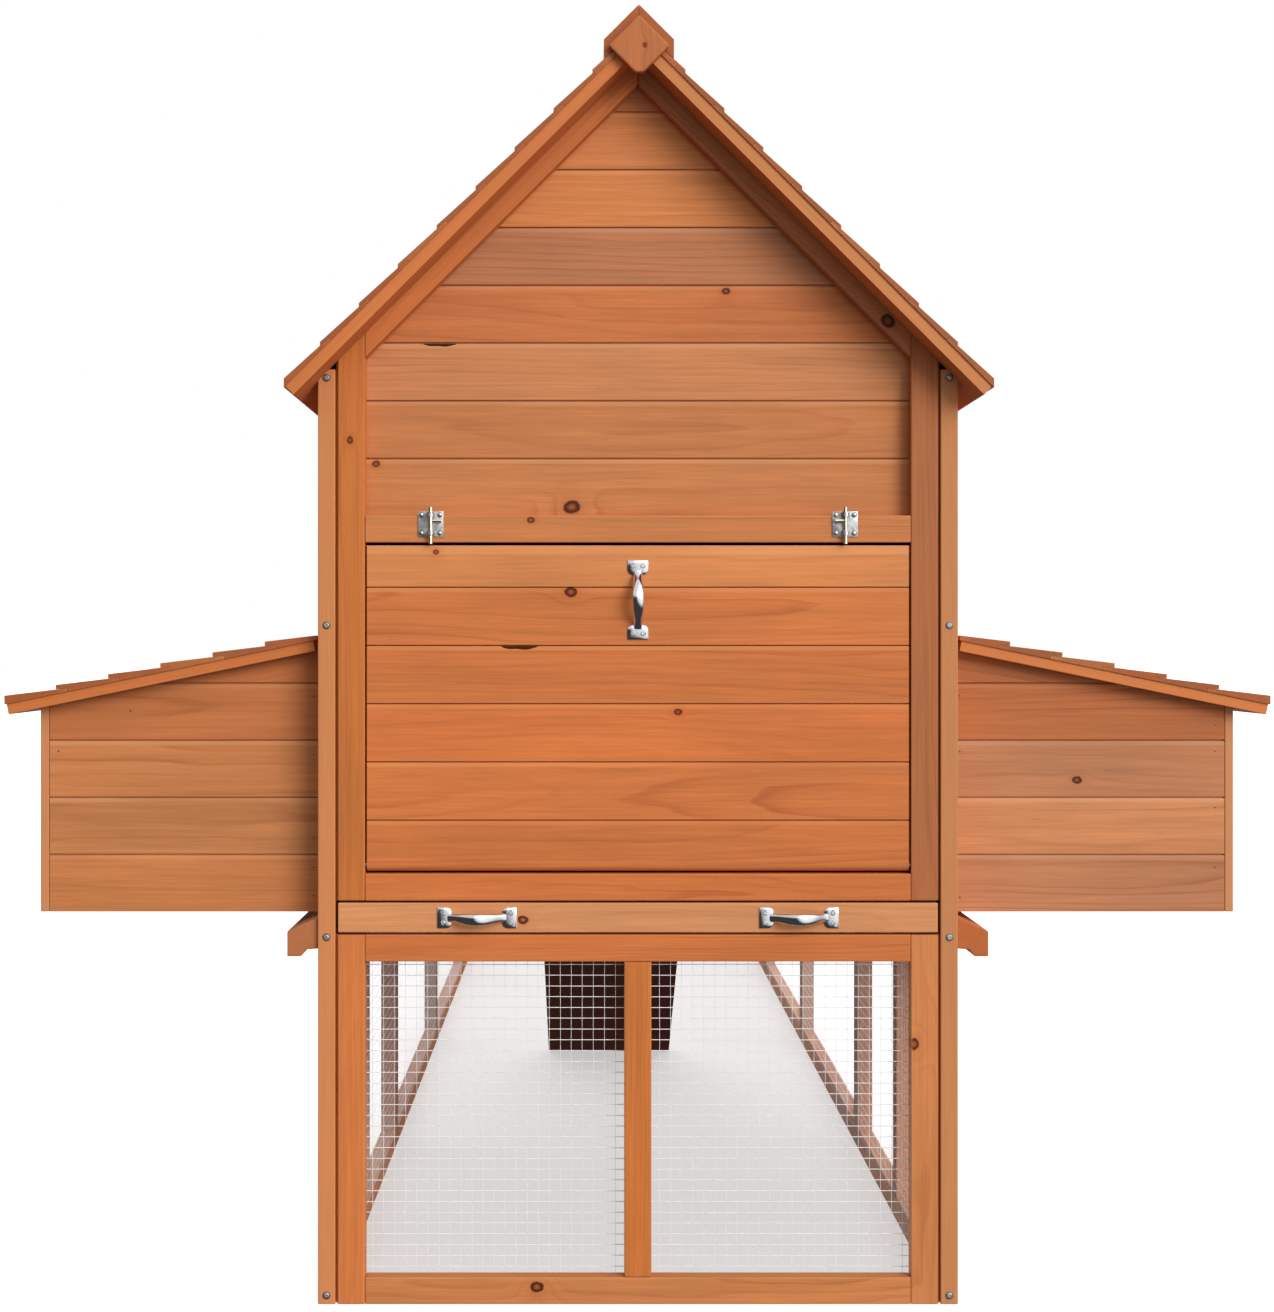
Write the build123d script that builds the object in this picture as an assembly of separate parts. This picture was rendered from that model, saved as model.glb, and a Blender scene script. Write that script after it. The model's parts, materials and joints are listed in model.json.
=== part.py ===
from build123d import *
import math
import os

os.makedirs("parts", exist_ok=True)

# Chicken coop with a wire run. All sizes in millimetres.
# X runs across the coop, Y from the house end to the far end of the run, Z up from the ground.
# While the pieces are made, Y = 0 is the face of the house front.

# Timber stock
STICK_W = 31.0
STICK_T = 20.0
BOARD_T = 10.0
BOARD_PITCH = 67.0
BOARD_GAP = 1.6
TONGUE_T = 3.0
TONGUE_H = 4.0
TONGUE_FIT = 0.4

# Clearances
SEAT = 0.2
RUNNING = 0.4
PANEL_GAP = 3.0
SHADOW_DEPTH = 6.0
EDGE_GAP = 2.0

# House
HOUSE_W = 736.0
HOUSE_D = 728.0
WALL_H = 1080.0
STRIP_DROP = 5.0
LOWER_H = 425.0
TRAY_FRONT_H = 34.0
TRAY_GAP = 2.5
DOOR_H = 375.0
DOOR_T = 14.0
DOOR_SET = 2.0
DOOR_FIRST_BOARD = 59.0
GABLE_FIRST_BOARD = 71.0
HEAD_GAP = 3.5
BOARD_LAP = 4.0
ROOF_ANGLE = 45.0
TRIM_W = 31.8

# Roof
SLAT_T = 7.6
SLAT_THIN = 3.8
SLAT_W = 75.0
SLAT_PITCH = 62.0
EAVE_OUT = 32.0
SLAT_TOP = 5.0
BARGE_H = 13.0
BARGE_T = 44.8
OVERHANG = 45.0
CAP_T = 15.5
CAP_HALF = 39.5
BLOCK_SIDE = 48.5
BLOCK_UP = 7.5
BLOCK_T = 12.0

# Nest boxes
NEST_RISE = 20.0
NEST_H = 318.5
NEST_SETBACK = 48.5
NEST_OUT = 332.0
LID_ANGLE = 11.7
LID_OVER = 35.5
LID_SLAT_TOP = 0.5
LID_SLAT_T = 10.5
LID_SLAT_THIN = 4.2
LID_RAIL_H = 12.0
NEST_FLOOR_T = 8.0
HEADER_DROP = 40.0
HEADER_RISE = 48.0

# Drip rail under each nest box
DRIP_OUT = 36.0
DRIP_H = 36.0
DRIP_FALL = 16.0
DRIP_LIP = 16.0
DRIP_CUT = 9.0

# Tray
PAN_T = 1.2
PAN_H = 24.0
RUNNER_H = 12.0
RUNNER_W = 13.0

# Pop hole, hatch and ramp
POP_X = -20.0
POP_HALF = 125.0
POP_ROWS = 5
HATCH_T = 10.0
GUIDE_DROP = 67.0
GUIDE_W = 23.0
GUIDE_LIP = 6.0
SILL_DROP = 6.0
RAMP_HALF = 112.0
RAMP_T = 14.0
RAMP_REACH = 725.0
RAMP_CLEATS = 9
FOOT_CLEAR = 0.5

# Run
BAY = 789.0
BAYS = 3
RUN_DROP = 180.0
RUN_CAP_T = 8.0
RUN_CAP_HALF = 45.0
RUN_CAP_OUT = 30.0
RUN_DOOR_DROP = 35.0
RUN_HINGE_INSET = 120.0

# Wire nets, with wider gaps than the real half inch wire
NET_T = 1.0
NET_BAR = 2.0
NET_LAP = 6.0
LOW_NET_STEP = 40.0
SIDE_NET_STEP = 47.0
RUN_NET_STEP = 70.0
ROOF_NET_STEP = 60.0
END_NET_STEP = 58.0

# Metal fittings
PIVOT_D = 5.0
PIVOT_FIT = 0.05
HANDLE_L = 90.0
HANDLE_PLATE_L = 22.0
HANDLE_PLATE_W = 26.0
HANDLE_RISE = 25.0
HANDLE_GRIP_W = 14.0
TRAY_HANDLE_INSET = 160.0
BOLT_PLATE = 29.0
BOLT_D = 5.0
BOLT_L = 42.0
BOLT_CLEAR = 1.5
BOLT_INSET = 74.0
BOLT_RISE = 5.5
HINGE_L = 50.0
LID_HINGE_INSET = 90.0
HINGE_LEAF = 22.0
HINGE_T = 1.5
HINGE_R = 3.5
HINGE_PIN_R = 1.6
SCREW_HEAD_D = 7.0
SCREW_HEAD_H = 1.6
SCREW_D = 3.5
SCREW_L = 24.0

# Values that follow from the sizes above
RAD = math.radians(ROOF_ANGLE)
COS = math.cos(RAD)
SIN = math.sin(RAD)
TAN = math.tan(RAD)
HALF_W = HOUSE_W / 2
IN_X = HALF_W - STICK_T
NET_FACE_X = IN_X - NET_T - 2 * SEAT
PANEL_X = IN_X - PANEL_GAP
OPEN_X = PANEL_X - STICK_W
BOARD_X = IN_X - BOARD_T - EDGE_GAP
EAVE_X = HALF_W + EAVE_OUT
SLAT_LAP = SLAT_W - SLAT_PITCH
SLAT_RISE = (SLAT_T - SLAT_THIN) / SLAT_W
LID_SLAT_RISE = (LID_SLAT_T - LID_SLAT_THIN) / SLAT_W
SOFFIT_Z = WALL_H + HALF_W * TAN
MID_Y1 = HOUSE_D / 2
MID_Y0 = MID_Y1 - STICK_W
MID_C = (MID_Y0 + MID_Y1) / 2
TRAY_Z0 = LOWER_H + TRAY_GAP
TRAY_Z1 = TRAY_Z0 + TRAY_FRONT_H
UPPER_Z = TRAY_Z1 + TRAY_GAP
DOOR_Z0 = UPPER_Z + STICK_W + TRAY_GAP
DOOR_Z1 = DOOR_Z0 + DOOR_H
DOOR_X = OPEN_X - EDGE_GAP
HEAD_Z0 = DOOR_Z1 + HEAD_GAP
HEAD_Z1 = HEAD_Z0 + STICK_W
REAR_Y = HOUSE_D - STICK_T
REAR_BOARD_Y = REAR_Y - SEAT - BOARD_T
NEST_Y0 = NEST_SETBACK
NEST_Y1 = 2 * MID_C - NEST_SETBACK
NEST_X = HALF_W + NEST_OUT
NEST_Z0 = LOWER_H + NEST_RISE
NEST_LID_Z = NEST_Z0 + NEST_H
LID_X = NEST_X + LID_OVER
RUN_Y1 = HOUSE_D + BAY * BAYS
RUN_WALL_H = WALL_H - RUN_DROP
RUN_DOOR_TOP = RUN_WALL_H - RUN_DOOR_DROP
RUN_SOFFIT_Z = RUN_WALL_H + HALF_W * TAN
FRONT_Y = -(OVERHANG + BLOCK_T)
Y_MID = (FRONT_Y + RUN_Y1 + RUN_CAP_OUT) / 2


def block(x0, x1, y0, y1, z0, z1):
    """A straight piece between two opposite corners."""
    return Solid.make_box(x1 - x0, y1 - y0, z1 - z0).moved(Location((x0, y0, z0)))


def prism_y(points, y0, y1):
    """A piece of constant X-Z outline that runs along Y."""
    wire = Wire.make_polygon([(x, y0, z) for x, z in points], close=True)
    return Solid.extrude(Face(wire), Vector(0, y1 - y0, 0))


def prism_x(points, x0, x1):
    """A piece of constant Y-Z outline that runs along X."""
    wire = Wire.make_polygon([(x0, y, z) for y, z in points], close=True)
    return Solid.extrude(Face(wire), Vector(x1 - x0, 0, 0))


def prism_z(points, z0, z1):
    """A piece of constant X-Y outline that runs along Z."""
    wire = Wire.make_polygon([(x, y, z0) for x, y in points], close=True)
    return Solid.extrude(Face(wire), Vector(0, 0, z1 - z0))


def rod(start, direction, radius, length):
    """A round bar from a start point along a direction."""
    return Solid.make_cylinder(radius, length, Plane(origin=start, z_dir=direction))


def solid_of(shape):
    """The one solid that a cut or a join leaves."""
    return shape.solids()[0]


def mirrored(pieces):
    """The left hand copies of right hand pieces."""
    return [piece.mirror(Plane.YZ) for piece in pieces]


def shifted(pieces, x):
    """Copies of pieces moved along X."""
    return [piece.moved(Location((x, 0, 0))) for piece in pieces]


def both(pieces):
    """Right hand pieces with their left hand copies."""
    return pieces + mirrored(pieces)


def save(name, pieces):
    """Write one node, shifted so that the coop is centred on Y."""
    group = Compound(pieces) if len(pieces) > 1 else pieces[0]
    export_step(group.moved(Location((0, -Y_MID, 0))), f"parts/{name}.step")


def soffit(x, base=SOFFIT_Z):
    """Height of the underside of a roof at a distance from the middle."""
    return base - abs(x) * TAN


def board_section(z0, z1, first=False, last=False):
    """Outline of a tongued board as depth behind its face and height."""
    low = z0 if first else z0 + BOARD_GAP / 2
    high = z1 if last else z1 - BOARD_GAP / 2
    near = (BOARD_T - TONGUE_T) / 2
    far = (BOARD_T + TONGUE_T) / 2
    points = [(0, low), (0, high)]
    if not last:
        top = high + BOARD_GAP + TONGUE_H
        points += [(near, high), (near, top), (far, top), (far, high)]
    points += [(BOARD_T, high), (BOARD_T, low)]
    if not first:
        roof = low + TONGUE_H + TONGUE_FIT
        points += [(far + TONGUE_FIT, low), (far + TONGUE_FIT, roof)]
        points += [(near - TONGUE_FIT, roof), (near - TONGUE_FIT, low)]
    return points


def rows_between(z0, z1, pitch=BOARD_PITCH, first_pitch=BOARD_PITCH):
    """Heights of the joints of stacked boards from a bottom to a top."""
    lines = [z0]
    z = z0 + first_pitch
    while z < z1 - pitch / 4:
        lines.append(z)
        z += pitch
    lines.append(z1)
    return lines


def boards_across(lines, x0, x1, y_face, toward=1):
    """Stacked boards along X. Their face looks away from the given Y direction."""
    count = len(lines) - 1
    made = []
    for i in range(count):
        section = board_section(lines[i], lines[i + 1], i == 0, i == count - 1)
        made.append(prism_x([(y_face + toward * d, z) for d, z in section], x0, x1))
    return made


def boards_along(lines, y0, y1, x_face, toward=1):
    """Stacked boards along Y. Their face looks away from the given X direction."""
    count = len(lines) - 1
    made = []
    for i in range(count):
        section = board_section(lines[i], lines[i + 1], i == 0, i == count - 1)
        made.append(prism_y([(x_face + toward * d, z) for d, z in section], y0, y1))
    return made


def trimmed(pieces, keep):
    """The parts of the pieces that lie inside a keeper volume."""
    return [solid_of(piece & keep) for piece in pieces]


def on_slope(s, h, x0, z0, angle):
    """X and Z of a point s down a slope and h above it."""
    turn = math.radians(angle)
    x = x0 + s * math.cos(turn) + h * math.sin(turn)
    z = z0 - s * math.sin(turn) + h * math.cos(turn)
    return x, z


def slat_rows(eave_s, top_s):
    """How many lapped slats cover a slope from its eave to its top."""
    return 1 + math.ceil((eave_s - SLAT_W - top_s) / SLAT_PITCH)


def lapped_slats(x0, z0, angle, eave_x, top_s, y0, y1, thick, thin):
    """Tapered slats from the eave row up. Each laps over the one below it with a rebate."""
    turn = math.radians(angle)
    rise = (thick - thin) / SLAT_W
    eave_s = (eave_x - x0 - SEAT * math.sin(turn)) / math.cos(turn)
    made = []
    for i in range(slat_rows(eave_s, top_s)):
        low_s = eave_s - i * SLAT_PITCH
        up_s = max(low_s - SLAT_W, top_s)
        profile = [(up_s, thick - (low_s - up_s) * rise), (up_s, SEAT)]
        edge_h = SEAT
        if i > 0:
            lap_s = low_s - SLAT_LAP - RUNNING
            edge_h = thin + SLAT_LAP * rise + SEAT
            profile += [(lap_s, SEAT), (lap_s, edge_h - (low_s - lap_s) * rise)]
        profile.append((low_s, edge_h))
        outline = [on_slope(s, h, x0, z0, angle) for s, h in profile]
        lx, lz = outline[-1]
        outline.append((lx, lz + (thick - edge_h) / (math.cos(turn) + rise * math.sin(turn))))
        made.append(prism_y(outline, y0, y1))
    return made


def slope_stick(s0, s1, h0, h1, z0, y0, y1):
    """A stick that lies in the plane of a roof."""
    corners = [(s0, h0), (s1, h0), (s1, h1), (s0, h1)]
    return prism_y([on_slope(s, h, 0, z0, ROOF_ANGLE) for s, h in corners], y0, y1)


def net(origin, x_dir, z_dir, width, height, step, outline=None):
    """A flat wire net as one holed face, given a little thickness."""
    plane = Plane(origin=origin, x_dir=x_dir, z_dir=z_dir)
    frame = outline or [(0, 0), (width, 0), (width, height), (0, height)]
    columns = round((width - NET_BAR) / step)
    rows = round((height - NET_BAR) / step)
    step_u = (width - NET_BAR) / columns
    step_v = (height - NET_BAR) / rows
    holes = []
    for i in range(columns):
        for j in range(rows):
            u0 = NET_BAR + i * step_u
            v0 = NET_BAR + j * step_v
            u1 = u0 + step_u - NET_BAR
            v1 = v0 + step_v - NET_BAR
            corners = [(u0, v0), (u1, v0), (u1, v1), (u0, v1)]
            if outline is None or all(inside(outline, u, v) for u, v in corners):
                holes.append(polygon_on(plane, corners))
    face = Face(polygon_on(plane, frame), holes)
    return Solid.extrude(face, plane.z_dir * NET_T)


def polygon_on(plane, points):
    """A closed outline drawn on a plane."""
    return Wire.make_polygon([plane.from_local_coords(Vector(u, v, 0)) for u, v in points], close=True)


def inside(outline, u, v):
    """Whether a point lies inside a convex outline by more than one net bar."""
    for (u0, v0), (u1, v1) in zip(outline, outline[1:] + outline[:1]):
        length = math.hypot(u1 - u0, v1 - v0)
        if ((u1 - u0) * (v - v0) - (v1 - v0) * (u - u0)) / length < NET_BAR - 0.01:
            return False
    return True


def front_screw(x, z):
    """A screw driven into the front edge of a side panel."""
    head = rod((x, -SCREW_HEAD_H - SEAT, z), (0, 1, 0), SCREW_HEAD_D / 2, SCREW_HEAD_H)
    shank = rod((x, -SEAT - SCREW_HEAD_H / 2, z), (0, 1, 0), SCREW_D / 2, SCREW_L)
    return solid_of(head + shank)


def handle_pieces(plane):
    """A sprung pull handle with two foot plates and the four screws that hold it."""
    half = HANDLE_L / 2
    foot = half - HANDLE_PLATE_L
    reach = half - HANDLE_PLATE_L * 0.45
    arch = make_face(
        [
            ThreePointArc((-reach, 0.2), (0, HANDLE_RISE), (reach, 0.2)),
            Line((reach, 0.2), (foot - 1, 0.2)),
            ThreePointArc((foot - 1, 0.2), (0, HANDLE_RISE - 6), (1 - foot, 0.2)),
            Line((1 - foot, 0.2), (-reach, 0.2)),
        ]
    )
    band = extrude(Plane.XZ.offset(-HANDLE_GRIP_W) * arch, 2 * HANDLE_GRIP_W)
    wide = HANDLE_GRIP_W / 2
    slim = wide * 0.7
    lens = make_face(
        [
            ThreePointArc((-half, -slim), (0, -wide), (half, -slim)),
            Line((half, -slim), (half, slim)),
            ThreePointArc((half, slim), (0, wide), (-half, slim)),
            Line((-half, slim), (-half, -slim)),
        ]
    )
    grip = band & extrude(lens, HANDLE_RISE + 2)
    body = grip
    heads = []
    for side in (-1, 1):
        middle = side * (half - HANDLE_PLATE_L / 2)
        body = body + Pos(middle, 0, 0.75) * Box(HANDLE_PLATE_L, HANDLE_PLATE_W, 1.5)
        for across in (-1, 1):
            at = (middle, across * (HANDLE_PLATE_W / 2 - 4), 1.5 + SEAT / 2)
            heads.append(rod(at, (0, 0, 1), 2.6, 1.4))
    made = [solid_of(body)] + heads
    return [plane * piece for piece in made]


def bolt_pieces(plane, knob_side, reach):
    """A barrel bolt as its plate with two guides, four rivets and a pin that reaches along local X."""
    half = BOLT_PLATE / 2
    radius = BOLT_D / 2
    axis_z = 1.2 + 0.8 + radius
    plate = solid_of(Pos(0, 0, 0.6) * Box(BOLT_PLATE, BOLT_PLATE, 1.2))
    for x0 in (-half + 1.5, half - 6.5):
        ring = rod((x0, 0, axis_z), (1, 0, 0), radius + 2.0, 5.0)
        foot = block(x0, x0 + 5.0, -radius - 2.0, radius + 2.0, 0.6, axis_z)
        bore = rod((x0 - 1, 0, axis_z), (1, 0, 0), radius + RUNNING, 7.0)
        plate = solid_of(plate + ((ring + foot) - bore))
    rivets = []
    for sx in (-1, 1):
        for sy in (-1, 1):
            rivets.append(rod((sx * (half - 4), sy * (half - 4), 1.2 + SEAT / 2), (0, 0, 1), 2.2, 1.0))
    tip = half + reach
    pin = rod((tip - BOLT_L, 0, axis_z), (1, 0, 0), radius, BOLT_L)
    knob = rod((-3.6, 0, axis_z), (0, knob_side, 0), 2.0, 12.0)
    pin = solid_of(pin + knob)
    return [plane * piece for piece in [plate] + rivets], plane * pin


def hinge_pieces(plane, turn):
    """A butt hinge as its fixed leaf and pin and its moving leaf, axis along local Z."""
    third = HINGE_L / 3
    edge = HINGE_L / 2
    gap = RUNNING
    strip = HINGE_R + gap
    low = -HINGE_R
    high = low + HINGE_T
    fixed = block(-HINGE_LEAF, -strip, low, high, -edge, edge)
    for z0, z1 in ((-edge, -third / 2 - gap), (third / 2 + gap, edge)):
        fixed = fixed + block(-strip - 0.5, 0, low, high, z0, z1)
        fixed = fixed + rod((0, 0, z0), (0, 0, 1), HINGE_R, z1 - z0)
    fixed = solid_of(fixed - rod((0, 0, -edge - 1), (0, 0, 1), HINGE_PIN_R + PIVOT_FIT, HINGE_L + 2))
    moving = block(strip, HINGE_LEAF, low, high, -edge, edge)
    moving = moving + block(0, strip + 0.5, low, high, -third / 2, third / 2)
    moving = moving + rod((0, 0, -third / 2), (0, 0, 1), HINGE_R, third)
    moving = solid_of(moving - rod((0, 0, -edge), (0, 0, 1), HINGE_PIN_R + PIVOT_FIT, HINGE_L))
    moving = moving.rotate(Axis.Z, turn)
    pin = rod((0, 0, -edge), (0, 0, 1), HINGE_PIN_R, HINGE_L)
    return [plane * fixed, plane * pin], plane * moving


def stile_outline(x1, z0, base=SOFFIT_Z):
    """Outline of a stile from its foot to the underside of a roof, out to a given edge."""
    return [(OPEN_X, z0), (x1, z0), (x1, soffit(x1, base)), (OPEN_X, soffit(OPEN_X, base))]


def front_stile_solid(z0):
    """A front stile whose back edge meets the side panel behind a narrow shadow gap."""
    face = prism_y(stile_outline(PANEL_X, z0), 0, SHADOW_DEPTH)
    back = prism_y(stile_outline(IN_X - SEAT, z0), SHADOW_DEPTH, STICK_T)
    return solid_of(face + back)


# House front above the tray
PIVOT_Y = DOOR_SET + DOOR_T / 2
PIVOT_Z = DOOR_Z0 + DOOR_T / 2
PIN_DEPTH = STICK_W / 2
door_bore = rod((OPEN_X - 1, PIVOT_Y, PIVOT_Z), (1, 0, 0), PIVOT_D / 2 + PIVOT_FIT, PIN_DEPTH + 1.5)
front_stile = solid_of(front_stile_solid(UPPER_Z) - door_bore)
TRIM_DROP = TRIM_W / COS
trim_outline = [
    (SEAT, soffit(0) - TRIM_DROP),
    (OPEN_X - SEAT, soffit(OPEN_X) - TRIM_DROP),
    (OPEN_X - SEAT, soffit(OPEN_X)),
    (SEAT, soffit(SEAT)),
]
front_trim = prism_y(trim_outline, 0, STICK_T)
bottom_rail = block(SEAT - OPEN_X, OPEN_X - SEAT, 0, STICK_T, UPPER_Z, UPPER_Z + STICK_W)
head_rail = block(SEAT - OPEN_X, OPEN_X - SEAT, 0, STICK_T, HEAD_Z0, HEAD_Z1)
save("front_frame", both([front_stile, front_trim]) + [bottom_rail, head_rail])

gable_keep = prism_y(
    [
        (-BOARD_X, 0),
        (BOARD_X, 0),
        (BOARD_X, soffit(BOARD_X) - STICK_T),
        (0, soffit(0) - STICK_T),
        (-BOARD_X, soffit(BOARD_X) - STICK_T),
    ],
    -1,
    HOUSE_D + 1,
)
gable_lines = rows_between(HEAD_Z1 - BOARD_LAP, soffit(0) - STICK_T, BOARD_PITCH, GABLE_FIRST_BOARD)
gable_boards = boards_across(gable_lines, -BOARD_X, BOARD_X, STICK_T + SEAT)
save("front_gable_boards", trimmed(gable_boards, gable_keep))

# Mesh panel below the tray
low_stile = solid_of(front_stile_solid(0) & block(0, HALF_W, 0, STICK_T, 0, LOWER_H))
low_rail = block(SEAT - OPEN_X, OPEN_X - SEAT, 0, STICK_T, 0, STICK_W)
low_top = low_rail.moved(Location((0, 0, LOWER_H - STICK_W)))
low_post = block(-STICK_W / 2, STICK_W / 2, 0, STICK_T, STICK_W + SEAT, LOWER_H - STICK_W - SEAT)
save("lower_front_frame", both([low_stile]) + [low_rail, low_top, low_post])
LOW_NET_X = OPEN_X + NET_LAP
low_net = net(
    (-LOW_NET_X, STICK_T + SEAT + NET_T, STICK_W - NET_LAP),
    (1, 0, 0),
    (0, -1, 0),
    2 * LOW_NET_X,
    LOWER_H - 2 * (STICK_W - NET_LAP),
    LOW_NET_STEP,
)
save("lower_front_mesh", [low_net])

# Side walls of the house
RAIL_Y0 = STICK_W + SEAT
RAIL_Y1 = HOUSE_D - STICK_W - SEAT
HEADER_Z0 = NEST_LID_Z - HEADER_DROP
HEADER_Z1 = NEST_LID_Z + HEADER_RISE
STRIP_X = (IN_X + HALF_W) / 2
STRIP_TOP = WALL_H - STRIP_DROP
screw_heights = [STICK_W / 3, LOWER_H - 3, HEADER_Z0 + 57, STRIP_TOP - STICK_T / 2]
screw_holes = []
for z in screw_heights:
    screw_holes.append(rod((STRIP_X, -1, z), (0, 1, 0), SCREW_D / 2 + PIVOT_FIT, SCREW_L + 1))
side_front = block(IN_X, HALF_W, 0, STICK_W, 0, STRIP_TOP)
for hole in screw_holes:
    side_front = solid_of(side_front - hole)
side_rear = block(IN_X, HALF_W, HOUSE_D - STICK_W, HOUSE_D, 0, WALL_H)
side_sticks = [side_front, side_rear]
for z0, z1 in (
    (0, STICK_W),
    (NEST_Z0 - STICK_W, NEST_Z0),
    (HEADER_Z0, HEADER_Z1),
    (WALL_H - STICK_W, WALL_H),
):
    side_sticks.append(block(IN_X, HALF_W, RAIL_Y0, RAIL_Y1, z0, z1))
for z0, z1 in ((STICK_W, NEST_Z0 - STICK_W), (NEST_Z0, HEADER_Z0)):
    side_sticks.append(block(IN_X, HALF_W, MID_Y0, MID_Y1, z0 + SEAT, z1 - SEAT))
for y0, y1 in ((RAIL_Y0, NEST_Y0 + BOARD_T), (NEST_Y1 - BOARD_T, RAIL_Y1)):
    side_sticks.append(block(IN_X, HALF_W, y0, y1, NEST_Z0 + SEAT, HEADER_Z0 - SEAT))
save("right_wall_frame", side_sticks)
save("left_wall_frame", mirrored(side_sticks))

side_lines = rows_between(HEADER_Z1 - STICK_T, WALL_H - BOARD_LAP)
side_boards = boards_along(
    side_lines,
    STICK_T + SEAT + 1,
    HOUSE_D - STICK_T - SEAT - 1,
    IN_X - SEAT,
    -1,
)
save("side_wall_boards", both(side_boards))

side_net = net(
    (IN_X - SEAT - NET_T, STICK_W - NET_LAP + 8, STICK_W - NET_LAP),
    (0, 1, 0),
    (1, 0, 0),
    HOUSE_D - 2 * (STICK_W - NET_LAP + 8),
    NEST_Z0 - 2 * (STICK_W - NET_LAP),
    SIDE_NET_STEP,
)
save("side_wall_mesh", both([side_net]))

screws = [front_screw(STRIP_X, z) for z in screw_heights]
save("frame_screws", both(screws))

# Rear wall of the house with the pop hole
REAR_Z0 = NEST_Z0 - 14
SILL_Z = REAR_Z0 + STICK_W
REAR_BOARD_Z0 = SILL_Z - 25
POP_TOP = REAR_BOARD_Z0 + POP_ROWS * BOARD_PITCH
rear_stile = prism_y(stile_outline(IN_X - SEAT, REAR_Z0), REAR_Y, HOUSE_D)
rear_trim = prism_y(trim_outline, REAR_Y, HOUSE_D)
pop_jamb = block(POP_HALF, POP_HALF + STICK_W, REAR_Y, HOUSE_D, SILL_Z + SEAT, POP_TOP - SEAT)
rear_bottom = block(SEAT - OPEN_X, OPEN_X - SEAT, REAR_Y, HOUSE_D, REAR_Z0, SILL_Z)
rear_head = block(SEAT - OPEN_X, OPEN_X - SEAT, REAR_Y, HOUSE_D, POP_TOP, POP_TOP + STICK_W)
RAMP_PIVOT_Y = HOUSE_D + RAMP_T / 2 + 3
RAMP_PIVOT_Z = SILL_Z - STICK_W + 9
EAR_X0 = RAMP_HALF + EDGE_GAP
EAR_X1 = EAR_X0 + 13
ear = block(EAR_X0, EAR_X1, HOUSE_D + SEAT, RAMP_PIVOT_Y + 10, REAR_Z0, SILL_Z - 12)
ear_bore = rod((EAR_X0 - 1, RAMP_PIVOT_Y, RAMP_PIVOT_Z), (1, 0, 0), PIVOT_D / 2 + PIVOT_FIT, 12)
ear = solid_of(ear - ear_bore)
pop_sticks = shifted(both([pop_jamb, ear]), POP_X)
save("rear_frame", both([rear_stile, rear_trim]) + pop_sticks + [rear_bottom, rear_head])

rear_lines = rows_between(REAR_BOARD_Z0, soffit(0) - STICK_T)
rear_boards = []
for i, piece in enumerate(boards_across(rear_lines, -BOARD_X, BOARD_X, REAR_Y - SEAT, -1)):
    whole = solid_of(piece & gable_keep)
    if i < POP_ROWS:
        left = block(-BOARD_X - 1, POP_X - POP_HALF, 0, HOUSE_D, 0, WALL_H)
        right = block(POP_X + POP_HALF, BOARD_X + 1, 0, HOUSE_D, 0, WALL_H)
        rear_boards += [solid_of(whole & left), solid_of(whole & right)]
    else:
        rear_boards.append(whole)
save("rear_wall_boards", rear_boards)

# Hatch over the pop hole
GUIDE_X0 = POP_HALF + EDGE_GAP
GUIDE_X1 = GUIDE_X0 + GUIDE_W
GUIDE_Y0 = HOUSE_D + SEAT
SLOT_Y0 = GUIDE_Y0 + 2.4
SLOT_Y1 = SLOT_Y0 + HATCH_T + 2 * RUNNING
GUIDE_Y1 = SLOT_Y1 + GUIDE_LIP
SLOT_X = GUIDE_X0 + GUIDE_W / 2
HATCH_Z0 = SILL_Z + EDGE_GAP
HATCH_Z1 = POP_TOP + 14
guide_outline = [
    (GUIDE_X0, GUIDE_Y0),
    (GUIDE_X1, GUIDE_Y0),
    (GUIDE_X1, GUIDE_Y1),
    (GUIDE_X0, GUIDE_Y1),
    (GUIDE_X0, SLOT_Y1),
    (SLOT_X, SLOT_Y1),
    (SLOT_X, SLOT_Y0),
    (GUIDE_X0, SLOT_Y0),
]
GUIDE_TOP = soffit(GUIDE_X1 + abs(POP_X), RUN_SOFFIT_Z) - GUIDE_DROP
guide = prism_z(guide_outline, HATCH_Z0 - RUNNING + SEAT, GUIDE_TOP)
hatch_sill = block(-GUIDE_X1, GUIDE_X1, GUIDE_Y0, GUIDE_Y1, SILL_Z - SILL_DROP, HATCH_Z0 - RUNNING)
save("hatch_guides", shifted(both([guide]) + [hatch_sill], POP_X))

HATCH_X = SLOT_X - RUNNING
hatch = block(-HATCH_X, HATCH_X, SLOT_Y0 + RUNNING, SLOT_Y1 - RUNNING, HATCH_Z0, HATCH_Z1)
KNOB_Z = HATCH_Z0 + 70
hatch_face = SLOT_Y1 - RUNNING
knob_neck = rod((0, hatch_face + SEAT, KNOB_Z), (0, 1, 0), 6.0, 8.0)
knob_ball = rod((0, hatch_face + 7, KNOB_Z), (0, 1, 0), 11.0, 9.0)
save("pop_hatch", shifted([hatch], POP_X))
save("hatch_knob", shifted([solid_of(knob_neck + knob_ball)], POP_X))

# Ramp from the pop hole to the ground
RAMP_RUN = HOUSE_D + RAMP_REACH - RAMP_PIVOT_Y
RAMP_ANGLE = math.atan2(RAMP_PIVOT_Z, RAMP_RUN)
RC = math.cos(RAMP_ANGLE)
RS = math.sin(RAMP_ANGLE)


def on_ramp(s, h):
    """Y and Z of a point s down the ramp and h above its middle plane."""
    return RAMP_PIVOT_Y + s * RC + h * RS, RAMP_PIVOT_Z - s * RS + h * RC


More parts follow.
